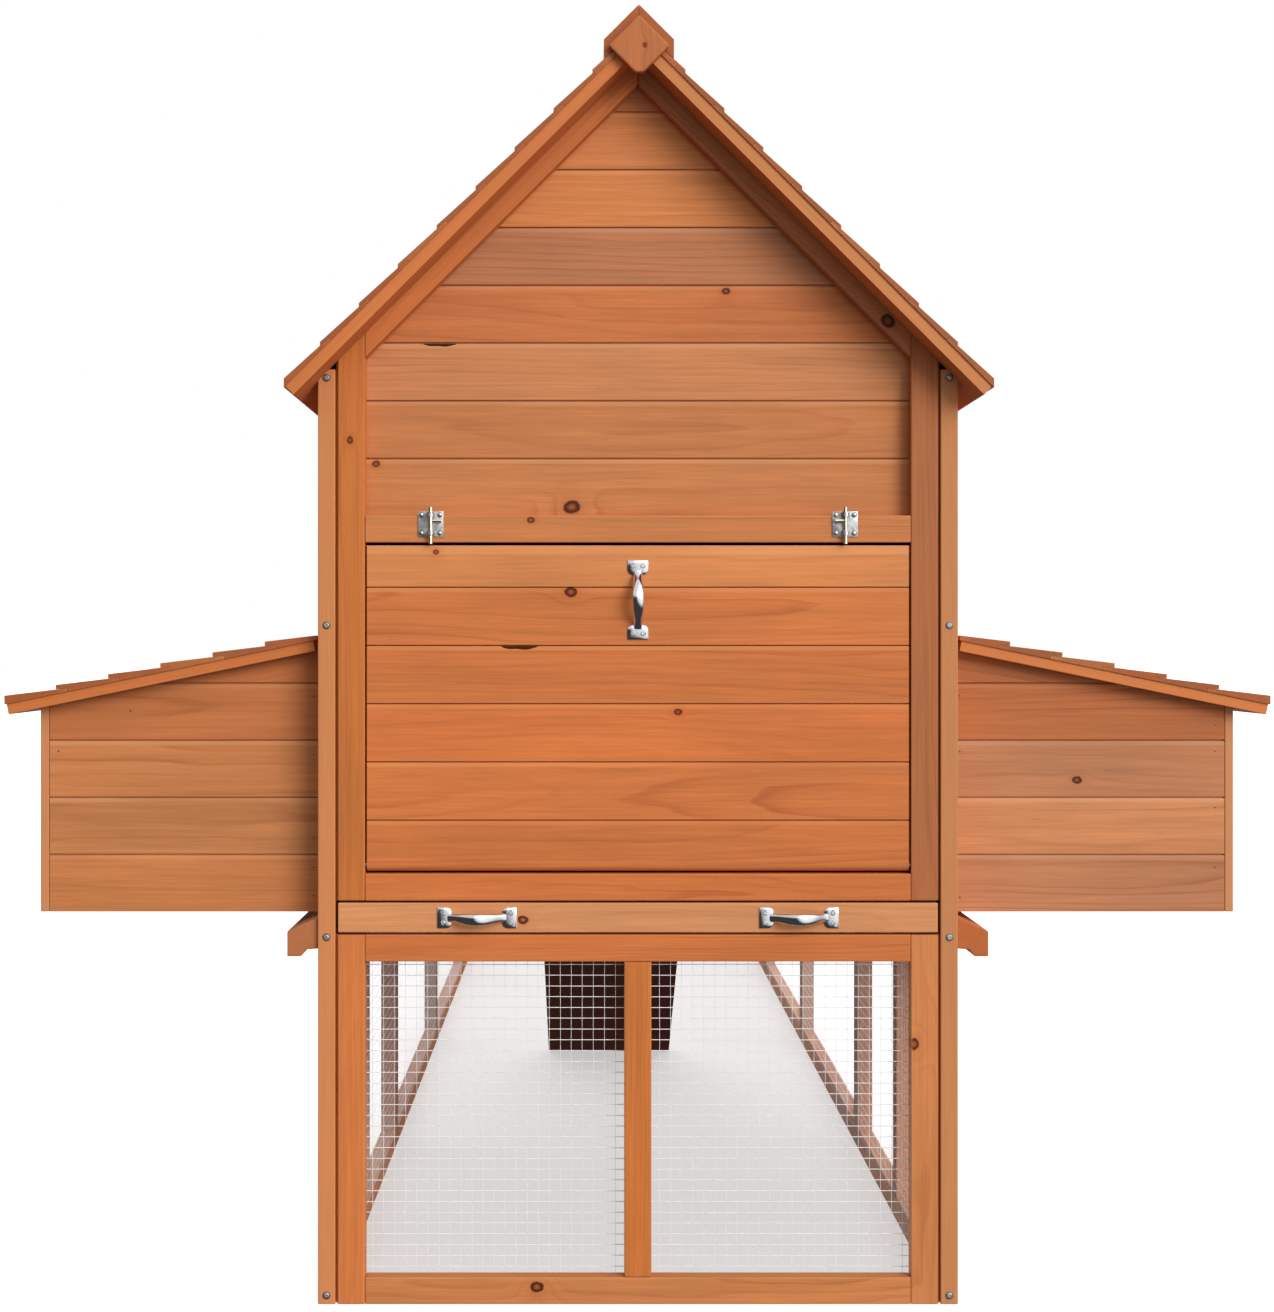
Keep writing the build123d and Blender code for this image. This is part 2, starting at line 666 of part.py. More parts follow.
def ramp_reach(h):
    """Distance down the ramp at which a line h above its middle plane meets the ground."""
    return (RAMP_PIVOT_Z - FOOT_CLEAR + h * RC) / RS


half_ramp = RAMP_T / 2
ramp_outline = [
    on_ramp(0, -half_ramp),
    on_ramp(ramp_reach(-half_ramp), -half_ramp),
    on_ramp(ramp_reach(half_ramp), half_ramp),
    on_ramp(0, half_ramp),
]
ramp = prism_x(ramp_outline, -RAMP_HALF, RAMP_HALF)
ramp = ramp + rod((-RAMP_HALF, RAMP_PIVOT_Y, RAMP_PIVOT_Z), (1, 0, 0), half_ramp, 2 * RAMP_HALF)
for side in (-1, 1):
    start = (side * (RAMP_HALF - 14), RAMP_PIVOT_Y, RAMP_PIVOT_Z)
    ramp = ramp - rod(start, (side, 0, 0), PIVOT_D / 2 + PIVOT_FIT, 20)
save("ramp_board", shifted([solid_of(ramp)], POP_X))
cleats = []
cleat_step = (ramp_reach(-half_ramp) - 70) / (RAMP_CLEATS - 1)
for i in range(RAMP_CLEATS):
    s = 40 + i * cleat_step
    top = half_ramp + SEAT
    outline = [on_ramp(s, top), on_ramp(s + 16, top), on_ramp(s + 16, top + 9), on_ramp(s, top + 9)]
    cleats.append(prism_x(outline, 8 - RAMP_HALF, RAMP_HALF - 8))
save("ramp_cleats", shifted(cleats, POP_X))

# Pivot pins of the door and the ramp
door_pin = rod((DOOR_X - 12, PIVOT_Y, PIVOT_Z), (1, 0, 0), PIVOT_D / 2, 12 + EDGE_GAP + PIN_DEPTH)
ramp_pin = rod((RAMP_HALF - 12, RAMP_PIVOT_Y, RAMP_PIVOT_Z), (1, 0, 0), PIVOT_D / 2, 22 + EDGE_GAP)
save("pivot_pins", both([door_pin]) + shifted(both([ramp_pin]), POP_X))

# Drop down front door
door_lines = rows_between(DOOR_Z0, DOOR_Z1, BOARD_PITCH, DOOR_FIRST_BOARD)
door_boards = []
count = len(door_lines) - 1
for i in range(count):
    section = board_section(door_lines[i], door_lines[i + 1], i == 0, i == count - 1)
    scaled = [(DOOR_SET + d * DOOR_T / BOARD_T, z) for d, z in section]
    piece = prism_x(scaled, -DOOR_X, DOOR_X)
    if i == 0:
        square = block(-DOOR_X - 1, DOOR_X + 1, 0, HOUSE_D, 0, PIVOT_Z)
        piece = piece - square
        piece = piece + rod((-DOOR_X, PIVOT_Y, PIVOT_Z), (1, 0, 0), DOOR_T / 2, 2 * DOOR_X)
        for side in (-1, 1):
            start = (side * (DOOR_X - 14), PIVOT_Y, PIVOT_Z)
            piece = piece - rod(start, (side, 0, 0), PIVOT_D / 2 + PIVOT_FIT, 20)
    door_boards.append(solid_of(piece))
save("door_boards", door_boards)
DOOR_BACK = DOOR_SET + DOOR_T + SEAT
door_battens = []
for x in (STICK_W + 9 - DOOR_X, 0, DOOR_X - STICK_W - 9):
    x0 = x - STICK_W / 2
    batten = block(x0, x0 + STICK_W, DOOR_BACK, DOOR_BACK + 12, DOOR_Z0 + 22, DOOR_Z1 - 12)
    door_battens.append(batten)
save("door_battens", door_battens)
HANDLE_Z = DOOR_Z1 - 17.6 - HANDLE_L / 2
door_plane = Plane(origin=(0, DOOR_SET - SEAT, HANDLE_Z), x_dir=(0, 0, 1), z_dir=(0, -1, 0))
save("door_handle", handle_pieces(door_plane))

# Barrel bolts
BOLT_X = DOOR_X - BOLT_INSET
BOLT_Z = DOOR_Z1 + HEAD_GAP + STICK_W / 2 + BOLT_RISE
BOLT_REACH = EDGE_GAP + BOLT_CLEAR - 0.5 + BOLT_RISE
left_plane = Plane(origin=(-BOLT_X, -SEAT, BOLT_Z), x_dir=(0, 0, -1), z_dir=(0, -1, 0))
right_plane = Plane(origin=(BOLT_X, -SEAT, BOLT_Z), x_dir=(0, 0, -1), z_dir=(0, -1, 0))
left_plate, left_pin = bolt_pieces(left_plane, 1, BOLT_REACH)
right_plate, right_pin = bolt_pieces(right_plane, -1, BOLT_REACH)
save("left_bolt", [left_pin])
save("right_bolt", [right_pin])

# Pull out tray
tray_front = block(-PANEL_X, PANEL_X, 0, STICK_T, TRAY_Z0, TRAY_Z1)
save("tray_front", [tray_front])
PAN_X = PANEL_X - 2
PAN_Z0 = TRAY_Z0 + 1
PAN_Y0 = STICK_T + SEAT
PAN_Y1 = REAR_BOARD_Y - 6
pan_outer = block(-PAN_X, PAN_X, PAN_Y0, PAN_Y1, PAN_Z0, PAN_Z0 + PAN_H)
pan_inner = block(
    PAN_T - PAN_X,
    PAN_X - PAN_T,
    PAN_Y0 + PAN_T,
    PAN_Y1 - PAN_T,
    PAN_Z0 + PAN_T,
    PAN_Z0 + PAN_H + 1,
)
save("tray_pan", [solid_of(pan_outer - pan_inner)])
TRAY_HANDLE_X = PANEL_X - TRAY_HANDLE_INSET
tray_handles = []
for side in (-1, 1):
    at = (side * TRAY_HANDLE_X, -SEAT, (TRAY_Z0 + TRAY_Z1) / 2)
    tray_handles += handle_pieces(Plane(origin=at, x_dir=(1, 0, 0), z_dir=(0, -1, 0)))
save("tray_handles", tray_handles)
RUNNER_X1 = NET_FACE_X
RUNNER_Z1 = PAN_Z0 - 0.3
runner = block(
    RUNNER_X1 - RUNNER_W,
    RUNNER_X1,
    STICK_T + 3,
    REAR_BOARD_Y - 1,
    RUNNER_Z1 - RUNNER_H,
    RUNNER_Z1,
)
save("tray_runners", both([runner]))

# Perch across the house
PERCH_W = 28.0
PERCH_RISE = 110.0
PERCH_Z = NEST_Z0 + PERCH_RISE
HOLDER_W = PERCH_W + 20
HOLDER_T = 14.0
notch = PERCH_W / 2 + RUNNING
holder_outline = [
    (MID_C - HOLDER_W / 2, PERCH_Z - 10),
    (MID_C + HOLDER_W / 2, PERCH_Z - 10),
    (MID_C + HOLDER_W / 2, PERCH_Z + PERCH_W),
    (MID_C + notch, PERCH_Z + PERCH_W),
    (MID_C + notch, PERCH_Z - SEAT),
    (MID_C - notch, PERCH_Z - SEAT),
    (MID_C - notch, PERCH_Z + PERCH_W),
    (MID_C - HOLDER_W / 2, PERCH_Z + PERCH_W),
]
holder = prism_x(holder_outline, IN_X - SEAT - HOLDER_T, IN_X - SEAT)
cut = PERCH_W * 0.22
p = PERCH_W / 2
perch_outline = [
    (MID_C - p + cut, PERCH_Z),
    (MID_C + p - cut, PERCH_Z),
    (MID_C + p, PERCH_Z + cut),
    (MID_C + p, PERCH_Z + PERCH_W - cut),
    (MID_C + p - cut, PERCH_Z + PERCH_W),
    (MID_C - p + cut, PERCH_Z + PERCH_W),
    (MID_C - p, PERCH_Z + PERCH_W - cut),
    (MID_C - p, PERCH_Z + cut),
]
perch_bar = prism_x(perch_outline, SEAT + 1 - IN_X, IN_X - SEAT - 1)
save("perch", both([holder]) + [perch_bar])

# House roof
roof_front = -OVERHANG
roof_rear = HOUSE_D + OVERHANG
slats = lapped_slats(
    0,
    SOFFIT_Z,
    ROOF_ANGLE,
    EAVE_X,
    SLAT_TOP,
    roof_front - EDGE_GAP,
    roof_rear + EDGE_GAP,
    SLAT_T,
    SLAT_THIN,
)
save("right_roof_slats", slats)
save("left_roof_slats", mirrored(slats))

ROOF_EAVE_S = (EAVE_X - SEAT * SIN) / COS
BARGE_S1 = ROOF_EAVE_S - EDGE_GAP
barge_low = soffit(SEAT) - BARGE_H / COS
barge_end_top = on_slope(BARGE_S1, 0, 0, SOFFIT_Z, ROOF_ANGLE)
barge_end_low = on_slope(BARGE_S1, -BARGE_H, 0, SOFFIT_Z, ROOF_ANGLE)
barge_outline = [(SEAT, barge_low), barge_end_low, barge_end_top, (SEAT, soffit(SEAT))]
barges = [
    prism_y(barge_outline, roof_front, roof_front + BARGE_T),
    prism_y(barge_outline, roof_rear - BARGE_T, roof_rear),
]
save("barge_boards", both(barges))
EAVE_IN = HALF_W + SEAT
eave_outline = [
    (EAVE_IN, soffit(EAVE_IN) - BARGE_H / COS),
    barge_end_low,
    barge_end_top,
    (EAVE_IN, soffit(EAVE_IN)),
]
eave = prism_y(eave_outline, roof_front + BARGE_T + SEAT, roof_rear - BARGE_T - SEAT)
save("eave_battens", both([eave]))

# The ridge cap rests with its lower edges on the top slats
ROOF_TOP_S = ROOF_EAVE_S - (slat_rows(ROOF_EAVE_S, SLAT_TOP) - 1) * SLAT_PITCH
cap_bare = SLAT_T + SEAT - (ROOF_TOP_S - CAP_HALF / COS) * SLAT_RISE
cap_h = cap_bare / (1 + SLAT_RISE * TAN)
CAP_Z = SOFFIT_Z + cap_h / COS
cap_outline = [
    (SEAT, CAP_Z - SEAT * TAN),
    (CAP_HALF, CAP_Z - CAP_HALF * TAN),
    (CAP_HALF, CAP_Z + CAP_T / COS - CAP_HALF * TAN),
    (SEAT, CAP_Z + CAP_T / COS - SEAT * TAN),
]
cap = prism_y(cap_outline, roof_front - EDGE_GAP, roof_rear + EDGE_GAP)
save("ridge_cap", both([cap]))

half_block = BLOCK_SIDE * math.sqrt(0.5)
BLOCK_Z = CAP_Z - half_block * max(1.0, TAN) + BLOCK_UP
block_outline = [
    (0, BLOCK_Z + half_block),
    (half_block, BLOCK_Z),
    (half_block * 0.12, BLOCK_Z - half_block * 0.88),
    (-half_block * 0.12, BLOCK_Z - half_block * 0.88),
    (-half_block, BLOCK_Z),
]
front_block = prism_y(block_outline, FRONT_Y, roof_front - EDGE_GAP - SEAT)
rear_block = prism_y(block_outline, roof_rear + EDGE_GAP + SEAT, roof_rear + BLOCK_T)
save("ridge_end_blocks", [front_block, rear_block])

# Nest boxes
LID_X0 = HALF_W + 6
LB = math.radians(LID_ANGLE)


def lid_line(x):
    """Height of the underside of the lid slats at a distance from the middle."""
    return NEST_LID_Z - (x - LID_X0) * math.tan(LB)


nest_keep = prism_y(
    [
        (HALF_W, 0),
        (NEST_X + 1, 0),
        (NEST_X + 1, lid_line(NEST_X + 1) - RUNNING),
        (HALF_W, lid_line(HALF_W) - RUNNING),
    ],
    0,
    HOUSE_D,
)
WALL_X0 = HALF_W + SEAT
WALL_X1 = NEST_X - BOARD_T
nest_lines = rows_between(NEST_Z0, lid_line(HALF_W) + TONGUE_H)
nest_walls = trimmed(boards_across(nest_lines, WALL_X0, WALL_X1 - SEAT, NEST_Y0), nest_keep)
nest_walls += trimmed(boards_across(nest_lines, WALL_X0, WALL_X1 - SEAT, NEST_Y1, -1), nest_keep)
BATTEN_W = 22.0
outer_lines = rows_between(NEST_Z0, lid_line(NEST_X) - RUNNING)
nest_walls += boards_along(outer_lines, NEST_Y0 + BATTEN_W + SEAT, NEST_Y1 - BATTEN_W - SEAT, NEST_X, -1)
save("right_nest_walls", nest_walls)
save("left_nest_walls", mirrored(nest_walls))
nest_posts = []
for y0 in (NEST_Y0, NEST_Y1 - BATTEN_W):
    tall = block(WALL_X1, NEST_X, y0, y0 + BATTEN_W, NEST_Z0, WALL_H)
    nest_posts.append(solid_of(tall & nest_keep))
save("nest_corner_posts", both(nest_posts))
FLOOR_Z0 = NEST_Z0 + 4
IN_Y0 = NEST_Y0 + BOARD_T + SEAT
IN_Y1 = NEST_Y1 - BOARD_T - SEAT
nest_floor = block(WALL_X0, WALL_X1 - SEAT, IN_Y0, IN_Y1, FLOOR_Z0, FLOOR_Z0 + NEST_FLOOR_T)
save("nest_floors", both([nest_floor]))
divider = block(
    WALL_X0,
    WALL_X1 - SEAT,
    MID_C - BOARD_T / 2,
    MID_C + BOARD_T / 2,
    FLOOR_Z0 + NEST_FLOOR_T + SEAT,
    WALL_H,
)
save("nest_dividers", both([solid_of(divider & nest_keep)]))

# Hinged lids of the nest boxes
RAIL_IN0 = NEST_Y0 - EDGE_GAP
RAIL_IN1 = NEST_Y1 + EDGE_GAP
LID_S1 = (LID_X - LID_X0) / math.cos(LB) - EDGE_GAP


def lid_stick(s0, s1, y0, y1):
    """A stick under the lid slats."""
    corners = [(s0, -LID_RAIL_H), (s1, -LID_RAIL_H), (s1, 0), (s0, 0)]
    return prism_y([on_slope(s, h, LID_X0, NEST_LID_Z, LID_ANGLE) for s, h in corners], y0, y1)


LID_OUT0 = (NEST_X - LID_X0) / math.cos(LB) + 8
lid_frame = [
    lid_stick(3, LID_S1, RAIL_IN0 - STICK_T, RAIL_IN0),
    lid_stick(3, LID_S1, RAIL_IN1, RAIL_IN1 + STICK_T),
    lid_stick(LID_OUT0, LID_S1, RAIL_IN0 + SEAT, RAIL_IN1 - SEAT),
]
save("right_lid_frame", lid_frame)
save("left_lid_frame", mirrored(lid_frame))
lid_slats = lapped_slats(
    LID_X0,
    NEST_LID_Z,
    LID_ANGLE,
    LID_X,
    LID_SLAT_TOP,
    RAIL_IN0 - STICK_T - EDGE_GAP,
    RAIL_IN1 + STICK_T + EDGE_GAP,
    LID_SLAT_T,
    LID_SLAT_THIN,
)
save("right_lid_slats", lid_slats)
save("left_lid_slats", mirrored(lid_slats))

# The lid hinges lie on the top slat and on the wall above it
LEAF_SLOPE = LID_ANGLE - math.degrees(math.atan(LID_SLAT_RISE))
lid_eave_s = (LID_X - LID_X0 - SEAT * math.sin(LB)) / math.cos(LB)
lid_top_s = lid_eave_s - (slat_rows(lid_eave_s, LID_SLAT_TOP) - 1) * SLAT_PITCH
tx, tz = on_slope(lid_top_s, LID_SLAT_T, LID_X0, NEST_LID_Z, LID_ANGLE)
LEAF_TAN = math.tan(math.radians(LEAF_SLOPE))
LEAF_COS = math.cos(math.radians(LEAF_SLOPE))
LID_AXIS_X = HALF_W + SEAT + HINGE_R
LID_AXIS_Z = tz + (tx - LID_AXIS_X) * LEAF_TAN + (SEAT + HINGE_R) / LEAF_COS
lid_fixed = []
lid_moving = []
for y in (NEST_Y0 + LID_HINGE_INSET, NEST_Y1 - LID_HINGE_INSET):
    at = Plane(origin=(LID_AXIS_X, y, LID_AXIS_Z), x_dir=(0, 0, -1), z_dir=(0, -1, 0))
    fixed, moving = hinge_pieces(at, 90 - LEAF_SLOPE)
    lid_fixed += fixed
    lid_moving.append(moving)
save("lid_hinge_wall_leaves", both(lid_fixed))
save("right_lid_hinge_leaves", lid_moving)
save("left_lid_hinge_leaves", mirrored(lid_moving))

# Drip rails on the side walls under the nest boxes
DRIP_TOP = NEST_Z0 - 1
DRIP_X0 = HALF_W + SEAT
DRIP_X1 = DRIP_X0 + DRIP_OUT
drip_outline = [
    (DRIP_X0, DRIP_TOP),
    (DRIP_X1, DRIP_TOP - DRIP_FALL),
    (DRIP_X1, DRIP_TOP - DRIP_H - DRIP_CUT),
    (DRIP_X1 - DRIP_LIP, DRIP_TOP - DRIP_H - DRIP_CUT),
    (DRIP_X1 - DRIP_LIP - 6, DRIP_TOP - DRIP_H - 1),
    (DRIP_X0, DRIP_TOP - DRIP_H),
]
drip = prism_y(drip_outline, 6, HOUSE_D - 6)
save("drip_rails", both([drip]))

# Side panels of the run
run_sticks = []
run_nets = []
roof_sticks = []
roof_nets = []
ROOF_S0 = 3.0
ROOF_S1 = EAVE_X / COS - STICK_T
NET_EDGE = STICK_W - NET_LAP
for i in range(BAYS):
    y0 = HOUSE_D + i * BAY + SEAT
    y1 = HOUSE_D + (i + 1) * BAY - SEAT
    for a in (y0, y1 - STICK_W):
        run_sticks.append(block(IN_X, HALF_W, a, a + STICK_W, 0, RUN_WALL_H))
        roof_sticks.append(slope_stick(ROOF_S0, ROOF_S1, SEAT, STICK_T, RUN_SOFFIT_Z, a, a + STICK_W))
    b0 = y0 + STICK_W + SEAT
    b1 = y1 - STICK_W - SEAT
    for z0 in (0, RUN_WALL_H - STICK_W):
        run_sticks.append(block(IN_X, HALF_W, b0, b1, z0, z0 + STICK_W))
    for s0 in (ROOF_S0, ROOF_S1 - STICK_W):
        roof_sticks.append(slope_stick(s0, s0 + STICK_W, SEAT, STICK_T, RUN_SOFFIT_Z, b0, b1))
    run_nets.append(
        net(
            (IN_X - SEAT - NET_T, y0 + NET_EDGE, NET_EDGE),
            (0, 1, 0),
            (1, 0, 0),
            y1 - y0 - 2 * NET_EDGE,
            RUN_WALL_H - 2 * NET_EDGE,
            RUN_NET_STEP,
        )
    )
    corner = on_slope(ROOF_S1 - NET_EDGE, STICK_T + SEAT, 0, RUN_SOFFIT_Z, ROOF_ANGLE)
    roof_nets.append(
        net(
            (corner[0], y0 + NET_EDGE, corner[1]),
            (0, 1, 0),
            (SIN, 0, COS),
            y1 - y0 - 2 * NET_EDGE,
            ROOF_S1 - ROOF_S0 - 2 * NET_EDGE,
            ROOF_NET_STEP,
        )
    )
save("right_run_frames", run_sticks)
save("left_run_frames", mirrored(run_sticks))
save("run_side_mesh", both(run_nets))
save("run_roof_frames", both(roof_sticks))
save("run_roof_mesh", both(roof_nets))

RUN_CAP_Z = RUN_SOFFIT_Z + (STICK_T + NET_T + 2 * SEAT) / COS
run_cap_outline = [
    (SEAT, RUN_CAP_Z - SEAT * TAN),
    (RUN_CAP_HALF, RUN_CAP_Z - RUN_CAP_HALF * TAN),
    (RUN_CAP_HALF, RUN_CAP_Z + RUN_CAP_T / COS - RUN_CAP_HALF * TAN),
    (SEAT, RUN_CAP_Z + RUN_CAP_T / COS - SEAT * TAN),
]
run_cap = prism_y(run_cap_outline, HOUSE_D + 1, RUN_Y1 + RUN_CAP_OUT)
save("run_ridge_cap", both([run_cap]))

# Far end of the run
END_Y0 = RUN_Y1 - STICK_T
TIE_Z0 = RUN_DOOR_TOP + HEAD_GAP
TIE_Z1 = TIE_Z0 + STICK_W
end_stile = prism_y(stile_outline(NET_FACE_X, 0, RUN_SOFFIT_Z), END_Y0, RUN_Y1)
end_trim_outline = [
    (SEAT, soffit(0, RUN_SOFFIT_Z) - TRIM_DROP),
    (OPEN_X - SEAT, soffit(OPEN_X, RUN_SOFFIT_Z) - TRIM_DROP),
    (OPEN_X - SEAT, soffit(OPEN_X, RUN_SOFFIT_Z)),
    (SEAT, soffit(SEAT, RUN_SOFFIT_Z)),
]
end_trim = prism_y(end_trim_outline, END_Y0, RUN_Y1)
end_bottom = block(SEAT - OPEN_X, OPEN_X - SEAT, END_Y0, RUN_Y1, 0, STICK_W)
end_tie = block(SEAT - OPEN_X, OPEN_X - SEAT, END_Y0, RUN_Y1, TIE_Z0, TIE_Z1)
save("run_end_frame", both([end_stile, end_trim]) + [end_bottom, end_tie])

GABLE_X = OPEN_X + NET_LAP
GABLE_Z0 = TIE_Z0 + NET_EDGE
gable_width = 2 * GABLE_X
gable_side = soffit(GABLE_X, RUN_SOFFIT_Z) - NET_EDGE - GABLE_Z0
gable_top = soffit(0, RUN_SOFFIT_Z) - NET_EDGE - GABLE_Z0
gable_shape = [
    (0, 0),
    (gable_width, 0),
    (gable_width, gable_side),
    (GABLE_X, gable_top),
    (0, gable_side),
]
gable_net = net(
    (-GABLE_X, END_Y0 - SEAT, GABLE_Z0),
    (1, 0, 0),
    (0, -1, 0),
    gable_width,
    gable_top,
    END_NET_STEP,
    gable_shape,
)
save("run_gable_mesh", [gable_net])

# Door of the run
RUN_DOOR_X = OPEN_X - HEAD_GAP
RUN_DOOR_Z0 = STICK_W + HEAD_GAP
run_door = []
for x0 in (-RUN_DOOR_X, RUN_DOOR_X - STICK_W):
    run_door.append(block(x0, x0 + STICK_W, END_Y0, RUN_Y1, RUN_DOOR_Z0, RUN_DOOR_TOP))
door_mid = (RUN_DOOR_Z0 + RUN_DOOR_TOP - STICK_W) / 2
for z0 in (RUN_DOOR_Z0, door_mid, RUN_DOOR_TOP - STICK_W):
    run_door.append(
        block(
            STICK_W + SEAT - RUN_DOOR_X,
            RUN_DOOR_X - STICK_W - SEAT,
            END_Y0,
            RUN_Y1,
            z0,
            z0 + STICK_W,
        )
    )
save("run_door_frame", run_door)
run_door_net = net(
    (NET_EDGE - RUN_DOOR_X, END_Y0 - SEAT, RUN_DOOR_Z0 + NET_EDGE),
    (1, 0, 0),
    (0, -1, 0),
    2 * (RUN_DOOR_X - NET_EDGE),
    RUN_DOOR_TOP - RUN_DOOR_Z0 - 2 * NET_EDGE,
    END_NET_STEP,
)
save("run_door_mesh", [run_door_net])
RUN_AXIS_X = -(OPEN_X + RUN_DOOR_X) / 2
RUN_AXIS_Y = RUN_Y1 + SEAT + HINGE_R
run_fixed = []
run_moving = []
for z in (RUN_DOOR_Z0 + RUN_HINGE_INSET, RUN_DOOR_TOP - RUN_HINGE_INSET):
    at = Plane(origin=(RUN_AXIS_X, RUN_AXIS_Y, z), x_dir=(1, 0, 0), z_dir=(0, 0, 1))
    fixed, moving = hinge_pieces(at, 0)
    run_fixed += fixed
    run_moving.append(moving)
save("run_door_hinge_frame_leaves", run_fixed)
save("run_door_hinge_leaves", run_moving)
RUN_BOLT_X = OPEN_X + STICK_W / 2
run_bolt_plane = Plane(origin=(RUN_BOLT_X, RUN_Y1 + SEAT, door_mid), x_dir=(-1, 0, 0), z_dir=(0, 1, 0))
run_plate, run_pin = bolt_pieces(run_bolt_plane, 1, BOLT_REACH - BOLT_RISE)
save("bolt_plates", left_plate + right_plate + run_plate)
save("run_bolt", [run_pin])

print("door pivot", PIVOT_Y - Y_MID, PIVOT_Z)
print("lid axis", LID_AXIS_X, LID_AXIS_Z)
print("ramp pivot", RAMP_PIVOT_Y - Y_MID, RAMP_PIVOT_Z)
print("run door axis", RUN_AXIS_X, RUN_AXIS_Y - Y_MID)
print("bolt tip gap", BOLT_Z - BOLT_PLATE / 2 - BOLT_REACH - DOOR_Z1)
print("shift", Y_MID)
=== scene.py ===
import json
import math
import random

import bmesh
import bpy
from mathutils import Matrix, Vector


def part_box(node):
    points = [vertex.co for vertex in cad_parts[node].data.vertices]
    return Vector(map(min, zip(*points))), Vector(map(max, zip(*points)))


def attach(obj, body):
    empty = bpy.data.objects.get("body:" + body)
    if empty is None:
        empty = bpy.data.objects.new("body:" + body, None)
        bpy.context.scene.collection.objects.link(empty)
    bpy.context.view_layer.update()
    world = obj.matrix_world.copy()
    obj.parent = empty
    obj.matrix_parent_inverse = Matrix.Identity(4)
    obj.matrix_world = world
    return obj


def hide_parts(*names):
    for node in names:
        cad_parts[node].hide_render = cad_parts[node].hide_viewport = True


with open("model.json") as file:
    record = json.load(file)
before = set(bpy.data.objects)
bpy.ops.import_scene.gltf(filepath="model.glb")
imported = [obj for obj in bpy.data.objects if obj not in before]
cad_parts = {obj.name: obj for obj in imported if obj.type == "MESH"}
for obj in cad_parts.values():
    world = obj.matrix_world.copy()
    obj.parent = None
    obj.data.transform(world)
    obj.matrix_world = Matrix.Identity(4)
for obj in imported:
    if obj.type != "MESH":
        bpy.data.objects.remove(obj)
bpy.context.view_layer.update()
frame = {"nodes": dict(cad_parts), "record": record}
nodes = frame["nodes"]
node_body = {n: b for b, names in frame["record"]["behaviour"]["bodies"].items() for n in names}
draw = random.Random(41)
scene = bpy.context.scene
X = Vector((1, 0, 0))
Y = Vector((0, 1, 0))
Z = Vector((0, 0, 1))

# Camera of the photograph, in metres and in pixels of its 1274 x 1312 frame
PHOTO_W = 1274
PHOTO_H = 1312
FRONT_Y = -1.534
CAM_X = -0.0551
CAM_Z = 0.758
CAM_BACK = 2.303
FOCAL_PX = 2003.6
VANISH_X = 590
VANISH_Y = 645
SENSOR = 36.0

camera_data = bpy.data.cameras.new("camera")
camera_data.sensor_width = SENSOR
camera_data.lens = FOCAL_PX * SENSOR / PHOTO_H
camera_data.shift_x = (PHOTO_W / 2 - VANISH_X) / PHOTO_H
camera_data.shift_y = (VANISH_Y - PHOTO_H / 2) / PHOTO_H
camera_data.clip_end = 200.0
camera = bpy.data.objects.new("camera", camera_data)
camera.location = (CAM_X, FRONT_Y - CAM_BACK, CAM_Z)
camera.rotation_euler = (math.pi / 2, 0.0, 0.0)
scene.collection.objects.link(camera)
scene.camera = camera
scene.view_settings.view_transform = "Standard"


def from_photo(px, py, behind=0.0):
    """X and Z of a photo pixel on a plane that lies behind the house front."""
    scale = (CAM_BACK + behind) / FOCAL_PX
    return CAM_X + (px - VANISH_X) * scale, CAM_Z - (py - VANISH_Y) * scale


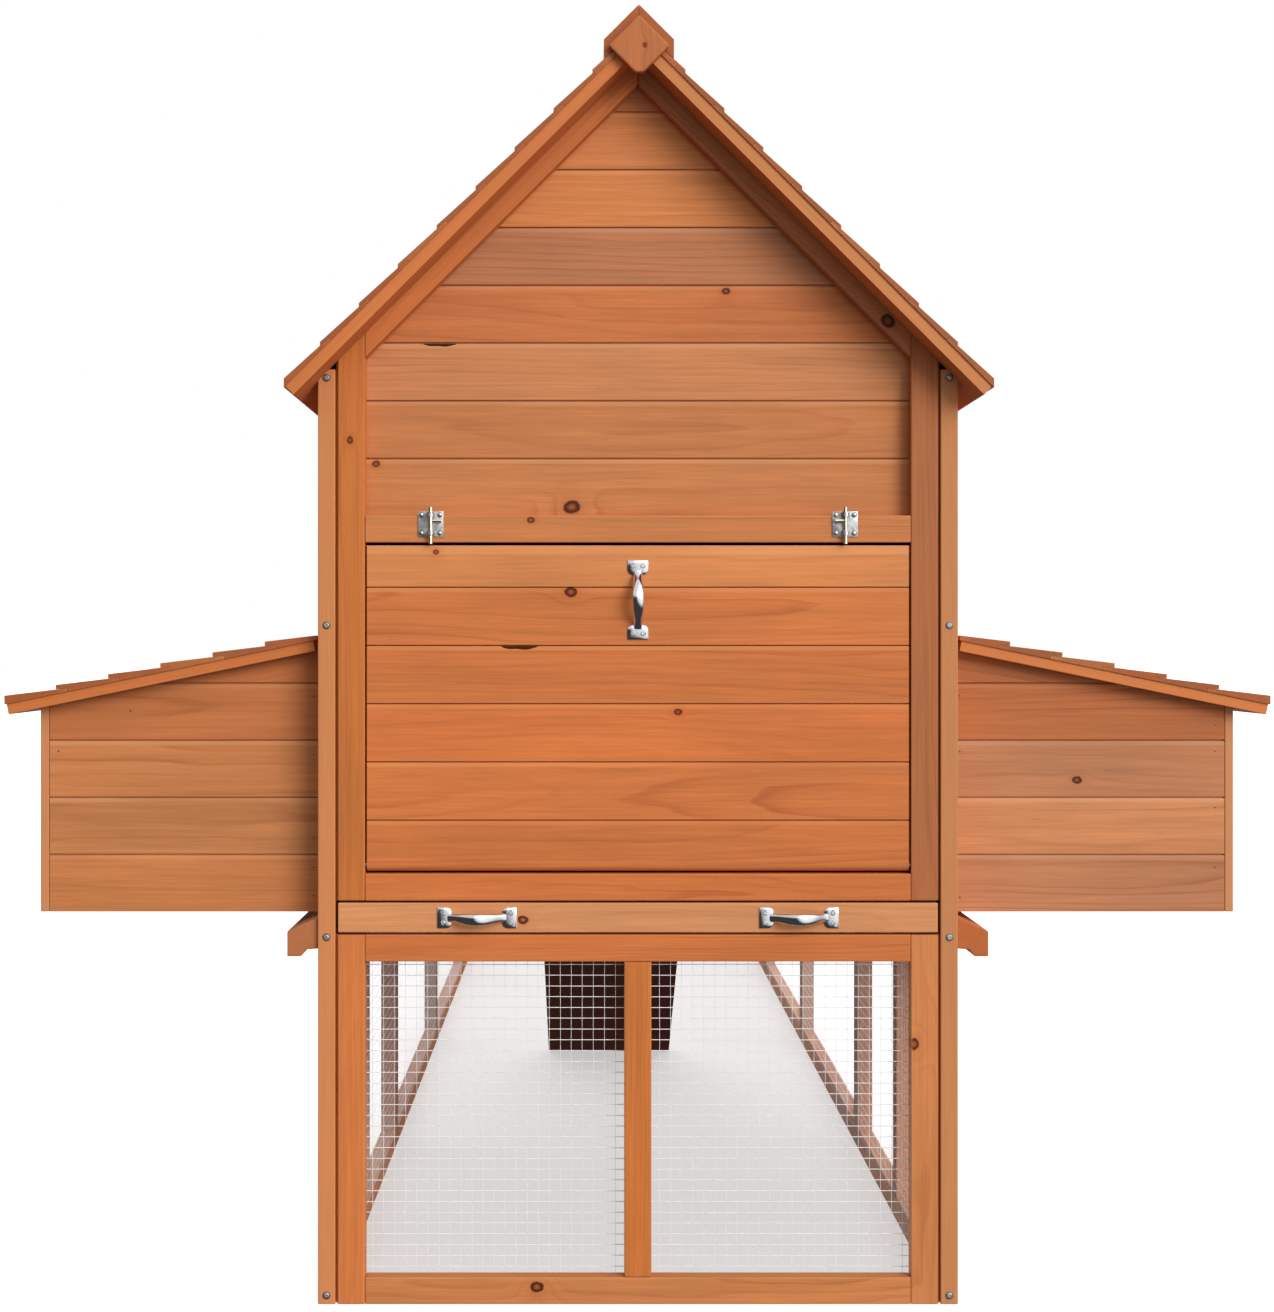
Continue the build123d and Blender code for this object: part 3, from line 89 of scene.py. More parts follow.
class Graph:
    """A node tree of a material or world that is made by short calls."""

    def __init__(self, name, owner=None):
        self.owner = owner or bpy.data.materials.new(name)
        self.owner.use_nodes = True
        self.tree = self.owner.node_tree
        self.shader = self.tree.nodes.get("Principled BSDF")

    def put(self, socket, value):
        if isinstance(value, bpy.types.NodeSocket):
            self.tree.links.new(value, socket)
        else:
            socket.default_value = value

    def node(self, kind, inputs, **settings):
        made = self.tree.nodes.new("ShaderNode" + kind)
        for key, value in settings.items():
            setattr(made, key, value)
        for key, value in inputs.items():
            self.put(made.inputs[key], value)
        return made

    def attribute(self, name):
        return self.node("Attribute", {}, attribute_name=name).outputs["Vector"]

    def place(self, kind="Object"):
        return self.node("TexCoord", {}).outputs[kind]

    def parts(self, vector):
        return self.node("SeparateXYZ", {0: vector}).outputs

    def math(self, operation, *values):
        return self.node("Math", dict(enumerate(values)), operation=operation).outputs[0]

    def vector(self, operation, a, b=(0.0, 0.0, 0.0)):
        made = self.node("VectorMath", {0: a, 1: b}, operation=operation)
        return made.outputs["Value" if operation in ("LENGTH", "DOT_PRODUCT") else "Vector"]

    def gain(self, a, amount):
        made = self.node("VectorMath", {0: a}, operation="SCALE")
        self.put(made.inputs["Scale"], amount)
        return made.outputs["Vector"]

    def noise(self, vector, scale=1.0, detail=2.0, rough=0.5, out="Fac"):
        inputs = {"Vector": vector, "Scale": scale, "Detail": detail, "Roughness": rough}
        return self.node("TexNoise", inputs).outputs[out]

    def span(self, value, low, high, to_low=0.0, to_high=1.0):
        inputs = {0: value, 1: low, 2: high, 3: to_low, 4: to_high}
        return self.node("MapRange", inputs, interpolation_type="SMOOTHSTEP").outputs[0]

    def ramp(self, value, stops):
        made = self.node("ValToRGB", {0: value})
        elements = made.color_ramp.elements
        while len(elements) < len(stops):
            elements.new(0.5)
        for element, (place, shade) in zip(elements, stops):
            element.position = place
            element.color = (shade, shade, shade, 1.0)
        return made.outputs[0]

    def mix(self, factor, a, b):
        return self.node("Mix", {0: factor, 6: a, 7: b}, data_type="RGBA").outputs[2]

    def bump(self, height, strength, distance):
        inputs = {"Height": height, "Strength": strength, "Distance": distance}
        self.put(self.shader.inputs["Normal"], self.node("Bump", inputs).outputs[0])


# Waves of the grain lines: stretch of the noise, and how far it moves a ring
GRAIN_WAVES = (((1.3, 7.0, 7.0), 0.07), ((5.0, 38.0, 38.0), 0.009), ((14.0, 160.0, 160.0), 0.0016))
# Darkness across one year ring
RING_STOPS = ((0.0, 0.0), (0.4, 0.05), (0.72, 0.38), (0.88, 1.0), (0.95, 0.8), (1.0, 0.0))
# How far under a board's upper edge its pale strip of painted highlight fades out, and where it is full
LIP_END = 0.012
LIP_FULL = 0.009


def wood(name, ring, contrast, lip):
    """Stained fir, read from the board values: rings about the log, knots, fibres, blotches and painted
    highlights along the board edges.
    """
    g = Graph(name)
    at = g.attribute("at")
    log = g.attribute("log")
    stain = g.attribute("stain")
    half = g.parts(g.attribute("half"))
    place = g.parts(at)
    radius = g.vector("MULTIPLY", log, (0.0, 1.0, 1.0))
    for stretch, amount in GRAIN_WAVES:
        warp = g.noise(g.vector("MULTIPLY", log, stretch), 1.0, 1.0, 0.5, "Color")
        warp = g.vector("MULTIPLY", g.vector("SUBTRACT", warp, (0.5, 0.5, 0.5)), (0.0, amount, amount))
        radius = g.vector("ADD", radius, warp)
    radius = g.vector("LENGTH", radius)
    wobble = g.noise(g.vector("MULTIPLY", log, (170.0, 170.0, 30.0)), 1.0, 2.0)
    knots = []
    for key in ("knot_a", "knot_b"):
        knot = g.attribute(key)
        size = g.parts(knot)[2]
        offset = g.vector("MULTIPLY", g.vector("SUBTRACT", at, knot), (0.8, 1.0, 0.0))
        reach = g.math("DIVIDE", g.vector("LENGTH", offset), size)
        reach = g.math("MULTIPLY_ADD", wobble, 0.5, g.math("SUBTRACT", reach, 0.25))
        knots.append((reach, size))
        swell = g.math("EXPONENT", g.math("MULTIPLY", g.math("MULTIPLY", reach, reach), -0.1))
        radius = g.math("MULTIPLY_ADD", g.math("MULTIPLY", swell, size), 1.7, radius)
    phase = g.math("DIVIDE", radius, ring)
    late = g.ramp(g.math("FRACT", phase), RING_STOPS)
    year = g.node("TexWhiteNoise", {"W": g.math("FLOOR", phase)}, noise_dimensions="1D").outputs[0]
    patch = g.noise(g.vector("MULTIPLY", log, (2.6, 19.0, 19.0)), 1.0, 2.0)
    depth = g.math("MULTIPLY", g.span(year, 0.0, 1.0, 0.15, 1.0), g.span(patch, 0.3, 0.72, 0.15, 1.0))
    late = g.math("MULTIPLY", late, g.math("MULTIPLY", depth, contrast))
    fibre = g.noise(g.vector("MULTIPLY", log, (13.0, 420.0, 420.0)), 1.0, 2.0, 0.6)
    streak = g.noise(g.vector("MULTIPLY", log, (3.2, 95.0, 95.0)), 1.0, 2.0, 0.6)
    blotch = g.noise(g.vector("MULTIPLY", log, (4.0, 12.0, 12.0)), 1.0, 3.0, 0.55)
    fleck = g.span(g.noise(g.vector("MULTIPLY", log, (50.0, 560.0, 560.0)), 1.0, 1.0), 0.7, 0.8)
    light = g.vector("MULTIPLY", stain, (1.06, 1.08, 1.08))
    dark = g.vector("MULTIPLY", stain, (0.66, 0.5, 0.4))
    colour = g.mix(late, light, dark)
    colour = g.gain(colour, g.span(fibre, 0.25, 0.75, 0.93, 1.06))
    colour = g.gain(colour, g.span(streak, 0.25, 0.75, 0.93, 1.06))
    colour = g.gain(colour, g.span(blotch, 0.25, 0.75, 0.91, 1.08))
    colour = g.mix(g.math("MULTIPLY", fleck, 0.3), colour, dark)
    # Painted highlight: a pale strip under each board's upper edge, where its rounded lip catches the light
    if lip:
        lip_highlight = g.span(g.math("SUBTRACT", half[1], place[1]), LIP_END, LIP_FULL, 0.0, lip)
        lip_highlight = g.math("MULTIPLY", lip_highlight, g.span(blotch, 0.3, 0.7, 0.4, 1.0))
        colour = g.mix(lip_highlight, colour, g.vector("MULTIPLY", stain, (1.25, 1.48, 1.8)))
    for reach, size in knots:
        halo = g.math("EXPONENT", g.math("MULTIPLY", g.math("MULTIPLY", reach, reach), -0.25))
        colour = g.mix(g.math("MULTIPLY", halo, 0.5), colour, g.vector("MULTIPLY", stain, (0.86, 0.64, 0.42)))
        loops = g.math("SINE", g.math("MULTIPLY", reach, 9.0))
        ripe = g.vector("MULTIPLY", stain, (0.62, 0.42, 0.28))
        bark_and_chip_shade = g.vector("MULTIPLY", stain, (0.13, 0.07, 0.05))
        heart = g.mix(g.span(loops, -1.0, 1.0), g.vector("MULTIPLY", stain, (0.4, 0.24, 0.15)), ripe)
        crust = g.math("MULTIPLY", g.span(reach, 0.4, 0.75), g.span(size, 0.0025, 0.0045, 0.55, 1.0))
        colour = g.mix(g.span(reach, 1.3, 0.95), colour, g.mix(crust, heart, bark_and_chip_shade))
    end = g.span(g.math("SUBTRACT", half[0], g.math("ABSOLUTE", place[0])), 0.0011, 0.0004)
    # Painted highlight: the colour pales near a board's long edges, where the rounded edges catch the light
    side = g.span(g.math("SUBTRACT", half[1], g.math("ABSOLUTE", place[1])), 0.0026, 0.0004)
    colour = g.mix(g.math("MULTIPLY", end, 0.6), colour, dark)
    colour = g.mix(g.math("MULTIPLY", side, 0.5), colour, g.vector("MULTIPLY", stain, (1.14, 1.22, 1.28)))
    g.put(g.shader.inputs["Base Color"], colour)
    g.put(g.shader.inputs["Roughness"], g.span(blotch, 0.25, 0.75, 0.52, 0.7))
    g.shader.inputs["Specular IOR Level"].default_value = 0.22
    g.bump(g.math("MULTIPLY_ADD", fibre, 0.5, g.math("MULTIPLY", late, 0.4)), 0.25, 0.0006)
    return g.owner


def metal(name, tint, rough_low, rough_high, spangle, size, bare=1.0):
    """Metal with dull and bright spangle, scratches and smears. Under 1, bare makes it less metallic."""
    g = Graph(name)
    where = g.place()
    cells = g.node("TexVoronoi", {"Vector": where, "Scale": size}).outputs["Color"]
    grain = g.parts(cells)[0]
    smear = g.noise(where, 60.0, 3.0, 0.6)
    scratch = g.noise(g.vector("MULTIPLY", where, (900.0, 120.0, 900.0)), 1.0, 2.0)
    dull = tuple(c * (1.0 - spangle) for c in tint)
    g.put(g.shader.inputs["Base Color"], g.mix(g.span(grain, 0.0, 1.0), (*dull, 1.0), (*tint, 1.0)))
    spread = g.math("MULTIPLY_ADD", grain, spangle, smear)
    g.put(g.shader.inputs["Roughness"], g.span(spread, 0.3, 0.9, rough_low, rough_high))
    g.shader.inputs["Metallic"].default_value = bare
    g.bump(scratch, 0.06, 0.0002)
    return g.owner


FIR = wood("stained_fir_boards", 0.0074, 0.62, 0.9)
FIR_FINE = wood("stained_fir_sticks", 0.0042, 0.5, 0.0)
WIRE = metal("galvanised_wire", (0.96, 0.96, 0.95), 0.35, 0.55, 0.06, 220.0, 0.08)
SHEET = metal("galvanised_sheet", (0.6, 0.62, 0.63), 0.36, 0.55, 0.2, 90.0, 0.3)
CHROME = metal("chrome_plate", (0.74, 0.75, 0.78), 0.03, 0.1, 0.03, 40.0)
ZINC = metal("zinc_plate", (0.64, 0.64, 0.62), 0.2, 0.4, 0.25, 300.0)
DULL_ZINC = metal("dull_zinc_plate", (0.47, 0.47, 0.47), 0.3, 0.5, 0.35, 260.0)
BRASSED = metal("yellow_zinc", (0.84, 0.77, 0.6), 0.2, 0.36, 0.12, 300.0)
SCREW = metal("screw_steel", (0.5, 0.48, 0.45), 0.25, 0.45, 0.2, 400.0)
# Dark steel for nail heads, and painted shade in the rings about screw and rivet heads
DARK_STEEL_AND_SHADE = metal("nail_steel_and_rim_shade", (0.2, 0.17, 0.15), 0.4, 0.65, 0.3, 400.0)

# Painted shade in the chips: a near-black strip that stands in for the shade of the gap
g = Graph("bark_and_chip_shade")
crust = g.noise(g.place(), 900.0, 3.0)
g.put(g.shader.inputs["Base Color"], g.mix(crust, (0.022, 0.006, 0.002, 1.0), (0.09, 0.026, 0.008, 1.0)))
g.put(g.shader.inputs["Roughness"], g.span(crust, 0.3, 0.7, 0.8, 0.95))
g.shader.inputs["Specular IOR Level"].default_value = 0.06
g.bump(crust, 0.6, 0.0004)
CHIP_SHADE = g.owner

# Stain of single boards, as linear colours. Some also hold painted light or shade, as noted where they are
# used.
ORANGE = (0.555, 0.156, 0.041)
HONEY = (0.530, 0.186, 0.062)
TAN = (0.525, 0.199, 0.077)
RUST = (0.455, 0.141, 0.044)
BROWN = (0.420, 0.137, 0.047)
PALE = (0.610, 0.255, 0.105)
SAND = (0.590, 0.200, 0.061)
AMBER = (0.515, 0.146, 0.031)
PINK = (0.500, 0.188, 0.081)
RAMP_SHADE_UMBER = (0.100, 0.018, 0.005)
CORAL = (0.640, 0.205, 0.062)
ROSE = (0.445, 0.166, 0.070)
RUN_SHADE_BROWN = (0.330, 0.122, 0.052)
BRONZE = (0.470, 0.176, 0.061)
COPPER = (0.500, 0.156, 0.050)
MIXED = (ORANGE, HONEY, TAN, RUST, PINK, HONEY, AMBER)


class Board:
    """One stick or board: its points, its middle, its axes along, across and through, and its half sizes."""

    def __init__(self, faces, along=None):
        self.points = [(v.index, v.co.copy()) for v in {v for f in faces for v in f.verts}]
        self.sides = [(f.normal.copy(), f.calc_center_median(), f.calc_area()) for f in faces]
        wide = max(faces, key=lambda f: f.calc_area())
        self.w = wide.normal.copy()
        edge = max(wide.edges, key=lambda e: e.calc_length())
        self.u = Vector(along) if along else (edge.verts[1].co - edge.verts[0].co).normalized()
        if sum(self.u) < 0:
            self.u.negate()
        self.v = self.w.cross(self.u).normalized()
        if self.v.z < -0.1:
            self.v.negate()
            self.w.negate()
        self.axes = (self.u, self.v, self.w)
        low = Vector([min(p.dot(a) for _, p in self.points) for a in self.axes])
        high = Vector([max(p.dot(a) for _, p in self.points) for a in self.axes])
        self.half = (high - low) / 2
        mid = (high + low) / 2
        self.c = self.u * mid[0] + self.v * mid[1] + self.w * mid[2]

    def local(self, point):
        return Vector([(point - self.c).dot(a) for a in self.axes])

    def holds(self, x, z):
        """Whether a place on the house front lies on this board."""
        xs = [p.x for _, p in self.points]
        zs = [p.z for _, p in self.points]
        return min(xs) <= x <= max(xs) and min(zs) <= z <= max(zs)

    def on_face(self, toward, u, v):
        """A point of the face that looks a given way, and the face's normal."""
        normal, centre, _ = max((s for s in self.sides if s[0].dot(toward) > 0.5), key=lambda s: s[2])
        point = self.c + self.u * u + self.v * v
        return point - normal * (point - centre).dot(normal), normal


def islands(bm):
    """The separate solids of a mesh, as lists of faces."""
    left = set(bm.faces)
    found = []
    for face in bm.faces:
        if face not in left:
            continue
        left.discard(face)
        group = [face]
        for member in group:
            for edge in member.edges:
                for other in edge.link_faces:
                    if other in left:
                        left.discard(other)
                        group.append(other)
        found.append(group)
    return found


def clean(node):
    """A welded copy of a node's mesh with each flat face in one piece."""
    bm = bmesh.new()
    bm.from_mesh(nodes[node].data)
    bmesh.ops.remove_doubles(bm, verts=bm.verts, dist=1e-6)
    bmesh.ops.dissolve_limit(bm, angle_limit=0.01, verts=bm.verts, edges=bm.edges)
    return bm


def ease(bm, edges, width):
    """Rounds some edges of a mesh a little."""
    shape = {"segments": 2, "profile": 0.6, "affect": "EDGES", "clamp_overlap": True}
    bmesh.ops.bevel(bm, geom=edges, offset=width, **shape)


def placed(name, mesh, material, slot, body, *stands_for):
    """Makes a mesh an object of the scene that rides on a body and may stand for CAD nodes."""
    mesh.materials.clear()
    mesh.materials.append(material)
    made = bpy.data.objects.new(name, mesh)
    scene.collection.objects.link(made)
    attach(made, body)
    if stands_for:
        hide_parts(*stands_for)
    return made


def baked(name, bm):
    mesh = bpy.data.meshes.new(name)
    bm.to_mesh(mesh)
    bm.free()
    return mesh


# Knots that the photograph shows: node, pixel, radius, depth of the piece behind the front
KNOTS = [
    ("front_gable_boards", 572, 507, 0.0070, 0.020),
    ("front_frame", 531, 520, 0.0034, 0.0),
    ("door_boards", 571, 592, 0.0052, 0.002),
    ("front_gable_boards", 726, 291, 0.0036, 0.020),
    ("door_boards", 678, 712, 0.0034, 0.002),
    ("front_frame", 888, 321, 0.0062, 0.0),
    ("lower_front_frame", 914, 1044, 0.0050, 0.0),
    ("lower_front_frame", 537, 1287, 0.0055, 0.0),
    ("left_wall_frame", 324, 1085, 0.0040, 0.0),
    ("front_gable_boards", 376, 464, 0.0034, 0.020),
    ("front_frame", 350, 440, 0.0032, 0.0),
    ("door_boards", 436, 552, 0.0026, 0.002),
    ("right_nest_walls", 1077, 780, 0.0040, 0.0485),
    ("tray_front", 523, 920, 0.0045, 0.0),
    ("ridge_end_blocks", 645, 44, 0.0022, -0.06),
]
NO_KNOT = Vector((9.0, 9.0, 0.001))
VALUES = ("at", "log", "stain", "half", "knot_a", "knot_b")


def dress(node, mesh, boards, stains, knot_chance):
    """Gives each board its stain, knots and place in its log, as values on the mesh points."""
    rows = []
    for i, board in enumerate(boards):
        shade = draw.uniform(0.94, 1.05)
        warm = draw.uniform(-0.04, 0.04)
        base = stains[i % len(stains)]
        stain = Vector((base[0] * shade, base[1] * shade * (1 + warm), base[2] * shade * (1 + 2 * warm)))
        pith = Vector((draw.uniform(0, 40), draw.uniform(-0.055, 0.055), draw.uniform(0.012, 0.07)))
        knots = []
        for _ in range(2):
            if draw.random() < knot_chance * min(1.0, board.half[0] * 2.2):
                u = draw.uniform(-0.93, 0.93) * board.half[0]
                v = draw.uniform(-0.95, 0.95) * board.half[1]
                knots.append(Vector((u, v, draw.uniform(0.0022, 0.0058))))
        rows.append((stain, pith, knots))
    for name, px, py, size, behind in KNOTS:
        x, z = from_photo(px, py, behind)
        hits = [i for i, b in enumerate(boards) if name == node and b.holds(x, z)]
        if hits:
            hit = min(hits, key=lambda i: boards[i].c.y)
            spot = boards[hit].local(Vector((x, boards[hit].c.y, z)))
            rows[hit][2].insert(0, Vector((spot[0], spot[1], size)))
    for key in VALUES:
        mesh.attributes.new(key, "FLOAT_VECTOR", "POINT")
    layers = [mesh.attributes[key].data for key in VALUES]
    for board, (stain, pith, knots) in zip(boards, rows):
        pair = (knots + [NO_KNOT, NO_KNOT])[:2]
        for index, co in board.points:
            at = board.local(co)
            for layer, value in zip(layers, (at, at + pith, stain, board.half, *pair)):
                layer[index].vector = value


# How far the strip of painted shade in a chip stands before the board's face, and how deep it goes
CHIP_SHADE_PROUD = 0.00006
CHIP_SHADE_DEPTH = 0.003


def wane(bm, x0, x1, z, y, drop):
    """A lost chip along the upper front edge of a board. Returns the edges it made and a near-black strip of
    painted shade for the chip.
    """
    lines = []
    for edge in bm.edges:
        a, b = edge.verts[0].co, edge.verts[1].co
        flat = abs(a.z - b.z) < 1e-5 and abs(a.y - y) < 4e-4 and abs(b.y - y) < 4e-4
        if flat and abs(a.z - z) < 0.006 and min(a.x, b.x) < x0 and max(a.x, b.x) > x1:
            lines.append(edge)
    edge = min(lines, key=lambda e: e.verts[0].co.z)
    top = edge.verts[0].co.z
    cut = bmesh.ops.subdivide_edges(bm, edges=[edge], cuts=24)
    fresh = [made for made in cut["geom_inner"] if isinstance(made, bmesh.types.BMVert)]
    fresh.sort(key=lambda v: v.co.x)
    for i, vert in enumerate(fresh):
        share = i / (len(fresh) - 1)
        vert.co.x = x0 + (x1 - x0) * share
        bow = math.sin(math.pi * share) ** 0.6
        ragged = 0.85 + 0.15 * math.sin(11 * share)
        vert.co.z -= drop * (0.04 + 0.96 * bow * ragged)
    strip = Heap()
    rows = []
    for vert in fresh:
        low = vert.co.z
        corners = ((-CHIP_SHADE_PROUD, top), (-CHIP_SHADE_PROUD, low), (CHIP_SHADE_DEPTH, low), (CHIP_SHADE_DEPTH, top))
        rows.append([Vector((vert.co.x, y + back, level)) for back, level in corners])
    strip.rings(rows)
    return {e for v in fresh for e in v.link_edges}, strip


# Edges up to this length stay sharp, and so do corners under this angle
SHORT_EDGE = 0.006
OUTER_CORNER = 0.5
# A face whose normal rises more than this is an upper face
UPWARD = 0.4


def timber(node, stains=MIXED, width=0.0013, material=FIR, knot_chance=0.3, along=None, bite=None, rise=0.0):
    """Replaces a wood node by boards with eased edges and their own grain, knots and stain.

    A bite is a chip in one board, and rise lifts the upper faces.
    """
    bm = clean(node)
    sharp = set()
    if bite:
        sharp, strip = wane(bm, *bite)
        # The chip's strip is painted shade
        finished(strip, node + "_chip_shade", CHIP_SHADE, "stained_fir", node_body[node], smooth=0.0)
    chosen = []
    for edge in bm.edges:
        near = any(e in sharp for v in edge.verts for e in v.link_edges)
        if near or not edge.is_manifold or edge.calc_length() <= SHORT_EDGE:
            continue
        if edge.calc_face_angle_signed() > OUTER_CORNER:
            chosen.append(edge)
    if width:
        ease(bm, chosen, width)
    bm.normal_update()
    if rise:
        upper = {v: f.normal.copy() for f in bm.faces if f.normal.z > UPWARD for v in f.verts}
        for vert, normal in upper.items():
            vert.co += normal * rise
    bm.verts.index_update()
    boards = [Board(faces, along) for faces in islands(bm)]
    boards.sort(key=lambda b: (round(b.c.z, 3), round(b.c.x, 3), round(b.c.y, 3)))
    name = node + "_timber"
    made = placed(name, baked(name, bm), material, "stained_fir", node_body[node], node)
    dress(node, made.data, boards, stains, knot_chance)
    return boards


class Heap:
    """Gathers many small shapes into one mesh."""

    def __init__(self):
        self.verts = []
        self.faces = []

    def add(self, verts, faces):
        base = len(self.verts)
        self.verts += [tuple(v) for v in verts]
        self.faces += [tuple(base + i for i in f) for f in faces]

    def rings(self, rows):
        """Joins closed rings of points, and caps the first and the last."""
        count = len(rows[0])
        faces = []
        for i in range(len(rows) - 1):
            for k in range(count):
                a = i * count + k
                b = i * count + (k + 1) % count
                faces.append((a, b, b + count, a + count))
        last = (len(rows) - 1) * count
        faces.append(tuple(range(count - 1, -1, -1)))
        faces.append(tuple(range(last, last + count)))
        self.add([p for row in rows for p in row], faces)

    def mesh(self, name, smooth=0.0):
        """The gathered shapes as a mesh with its normals outward. Edges under an angle are shaded smooth."""
        mesh = bpy.data.meshes.new(name)
        mesh.from_pydata(self.verts, [], self.faces)
        bm = bmesh.new()
        bm.from_mesh(mesh)
        bmesh.ops.recalc_face_normals(bm, faces=bm.faces)
        soften(bm, smooth)
        bm.to_mesh(mesh)
        bm.free()
        return mesh


def soften(bm, angle):
    """Shades edges below an angle as smooth."""
    for face in bm.faces:
        face.smooth = angle > 0
    for edge in bm.edges:
        edge.smooth = edge.is_manifold and edge.calc_face_angle() < angle


def ring(centre, a, b, ra, rb, sides, turn=0.5):
    """Points of an ellipse about a centre."""
    angles = [2 * math.pi * (k + turn) / sides for k in range(sides)]
    return [centre + a * (math.cos(t) * ra) + b * (math.sin(t) * rb) for t in angles]


def cross_axes(normal):
    side = normal.orthogonal().normalized()
    return side, normal.cross(side)


def wire(heap, path, radius, sides=6):
    """A thin bar along a path."""
    a, b = cross_axes((path[1] - path[0]).normalized())
    heap.rings([ring(p, a, b, radius, radius, sides) for p in path])


def dome(heap, centre, normal, radius, height, sides=10):
    """A dome that stands a little proud of a surface, for nail heads, rivets and the flat dark rings of
    painted shade about heads.
    """
    a, b = cross_axes(normal)
    steps = ((1.0, -0.4), (1.0, 0.35), (0.8, 0.75), (0.4, 1.0))
    heap.rings([ring(centre + normal * (height * h), a, b, radius * r, radius * r, sides) for r, h in steps])


def screw(heap, centre, normal, radius, height, turn):
    """A round screw head with a cross recess."""
    a, b = cross_axes(normal)
    a, b = a * math.cos(turn) + b * math.sin(turn), b * math.cos(turn) - a * math.sin(turn)
    wide = radius * 0.13
    far = radius * 0.6
    plus = [(far, wide), (wide, wide), (wide, far)]
    corners = []
    for quarter in range(4):
        for x, y in plus:
            for _ in range(quarter):
                x, y = -y, x
            corners.append((x, y))
    angles = [math.atan2(y, x) for x, y in corners]
    rays = [a * math.cos(t) + b * math.sin(t) for t in angles]
    rows = []
    for r, h in ((1.0, -0.3), (1.0, 0.3), (0.88, 0.72), (0.7, 1.0)):
        rows.append([centre + ray * (radius * r) + normal * (height * h) for ray in rays])
    for h in (1.0, 0.25):
        rows.append([centre + a * x + b * y + normal * (height * h) for x, y in corners])
    heap.rings(rows)


def finished(heap, name, material, slot, body, *stands_for, smooth=0.7):
    return placed(name, heap.mesh(name, smooth), material, slot, body, *stands_for)


def chip(left, right, level, behind, face, drop):
    """What wane() needs for a chip between two photo pixels in a face behind the front."""
    x0, z = from_photo(left, level, behind)
    x1 = from_photo(right, level, behind)[0]
    return x0, x1, z, FRONT_Y + face, drop


# The photograph's chips: left, right and level pixel, depth of their plane, depth of the board's face, drop
GABLE_CHIP = (423, 457, 344, 0.020, 0.0202, 0.0036)
DOOR_CHIP = (501, 538, 646, 0.002, 0.002, 0.0046)
# Sticks that carry slats rise by most of the 0.2 mm seat that the solids leave, so that no light shows there
SEATED = 0.00018

# House, run and ramp
timber("front_frame", (ORANGE, AMBER, BROWN, HONEY, ORANGE, BROWN), 0.0014, FIR_FINE, 0.0)
# The upper gable boards take the lightest stains: painted light against the shade under the roof's overhang
GABLE = (HONEY, HONEY, TAN, COPPER, ROSE, SAND, CORAL, HONEY)
timber("front_gable_boards", GABLE, 0.0015, FIR, 0.0, bite=chip(*GABLE_CHIP))
timber("door_boards", [ORANGE] * 5 + [SAND], 0.0015, FIR, 0.0, bite=chip(*DOOR_CHIP))
timber("door_battens")
timber("tray_front", (PALE,), 0.0014, FIR_FINE, 0.0)
timber("lower_front_frame", (SAND, AMBER, ORANGE, SAND, ORANGE), 0.0014, FIR_FINE, 0.0)
# The right wall's stile takes a darker stain than the left's: painted shade under the right eave
for node, stile in (("left_wall_frame", HONEY), ("right_wall_frame", BRONZE)):
    wall = (HONEY, BROWN, AMBER, stile, BROWN, ORANGE, AMBER, HONEY, SAND, ORANGE)
    timber(node, wall, 0.0014, FIR_FINE, 0.12)
for node in ("rear_frame", "hatch_guides"):
    timber(node, (SAND, ORANGE, AMBER, HONEY), 0.0014, FIR_FINE, 0.12)
for node in ("side_wall_boards", "rear_wall_boards", "nest_dividers", "nest_floors", "pop_hatch"):
    timber(node, MIXED, 0.0011)
for node in ("nest_corner_posts", "drip_rails", "perch", "tray_runners"):
    timber(node, (TAN, ORANGE), 0.0012, FIR_FINE, 0.1)
for node, rise in (("barge_boards", SEATED), ("eave_battens", SEATED), ("run_ridge_cap", 0.0)):
    timber(node, (ORANGE, TAN, HONEY), 0.0, FIR_FINE, 0.1, rise=rise)
timber("ridge_cap", (RUST, BROWN), 0.0002, FIR_FINE, 0.1)
timber("ridge_end_blocks", (RUST,), 0.0022, FIR_FINE, 0.0, (0, 0, 1))
for node in ("left_lid_frame", "right_lid_frame"):
    timber(node, (AMBER, ORANGE, ORANGE), 0.0006, FIR_FINE, 0.12, rise=SEATED)
# Painted shade: the run's frames take darker stains than the house, as they stand in shade, and the uprights
# of its sides the darkest
RUN_SIDE = [RUST] * 3 + [RUN_SHADE_BROWN] * 6 + [BROWN] * 3
for node in ("left_run_frames", "right_run_frames"):
    timber(node, RUN_SIDE, 0.0013, FIR_FINE, 0.12)
for node in ("run_roof_frames", "run_end_frame", "run_door_frame"):
    timber(node, (BROWN, RUST, COPPER), 0.0013, FIR_FINE, 0.12)
# Painted shade: the ramp takes a near-black brown, as it lies in the shade under the house
timber("ramp_board", (RAMP_SHADE_UMBER,), 0.0014)
timber("ramp_cleats", (RAMP_SHADE_UMBER,), 0.0012)

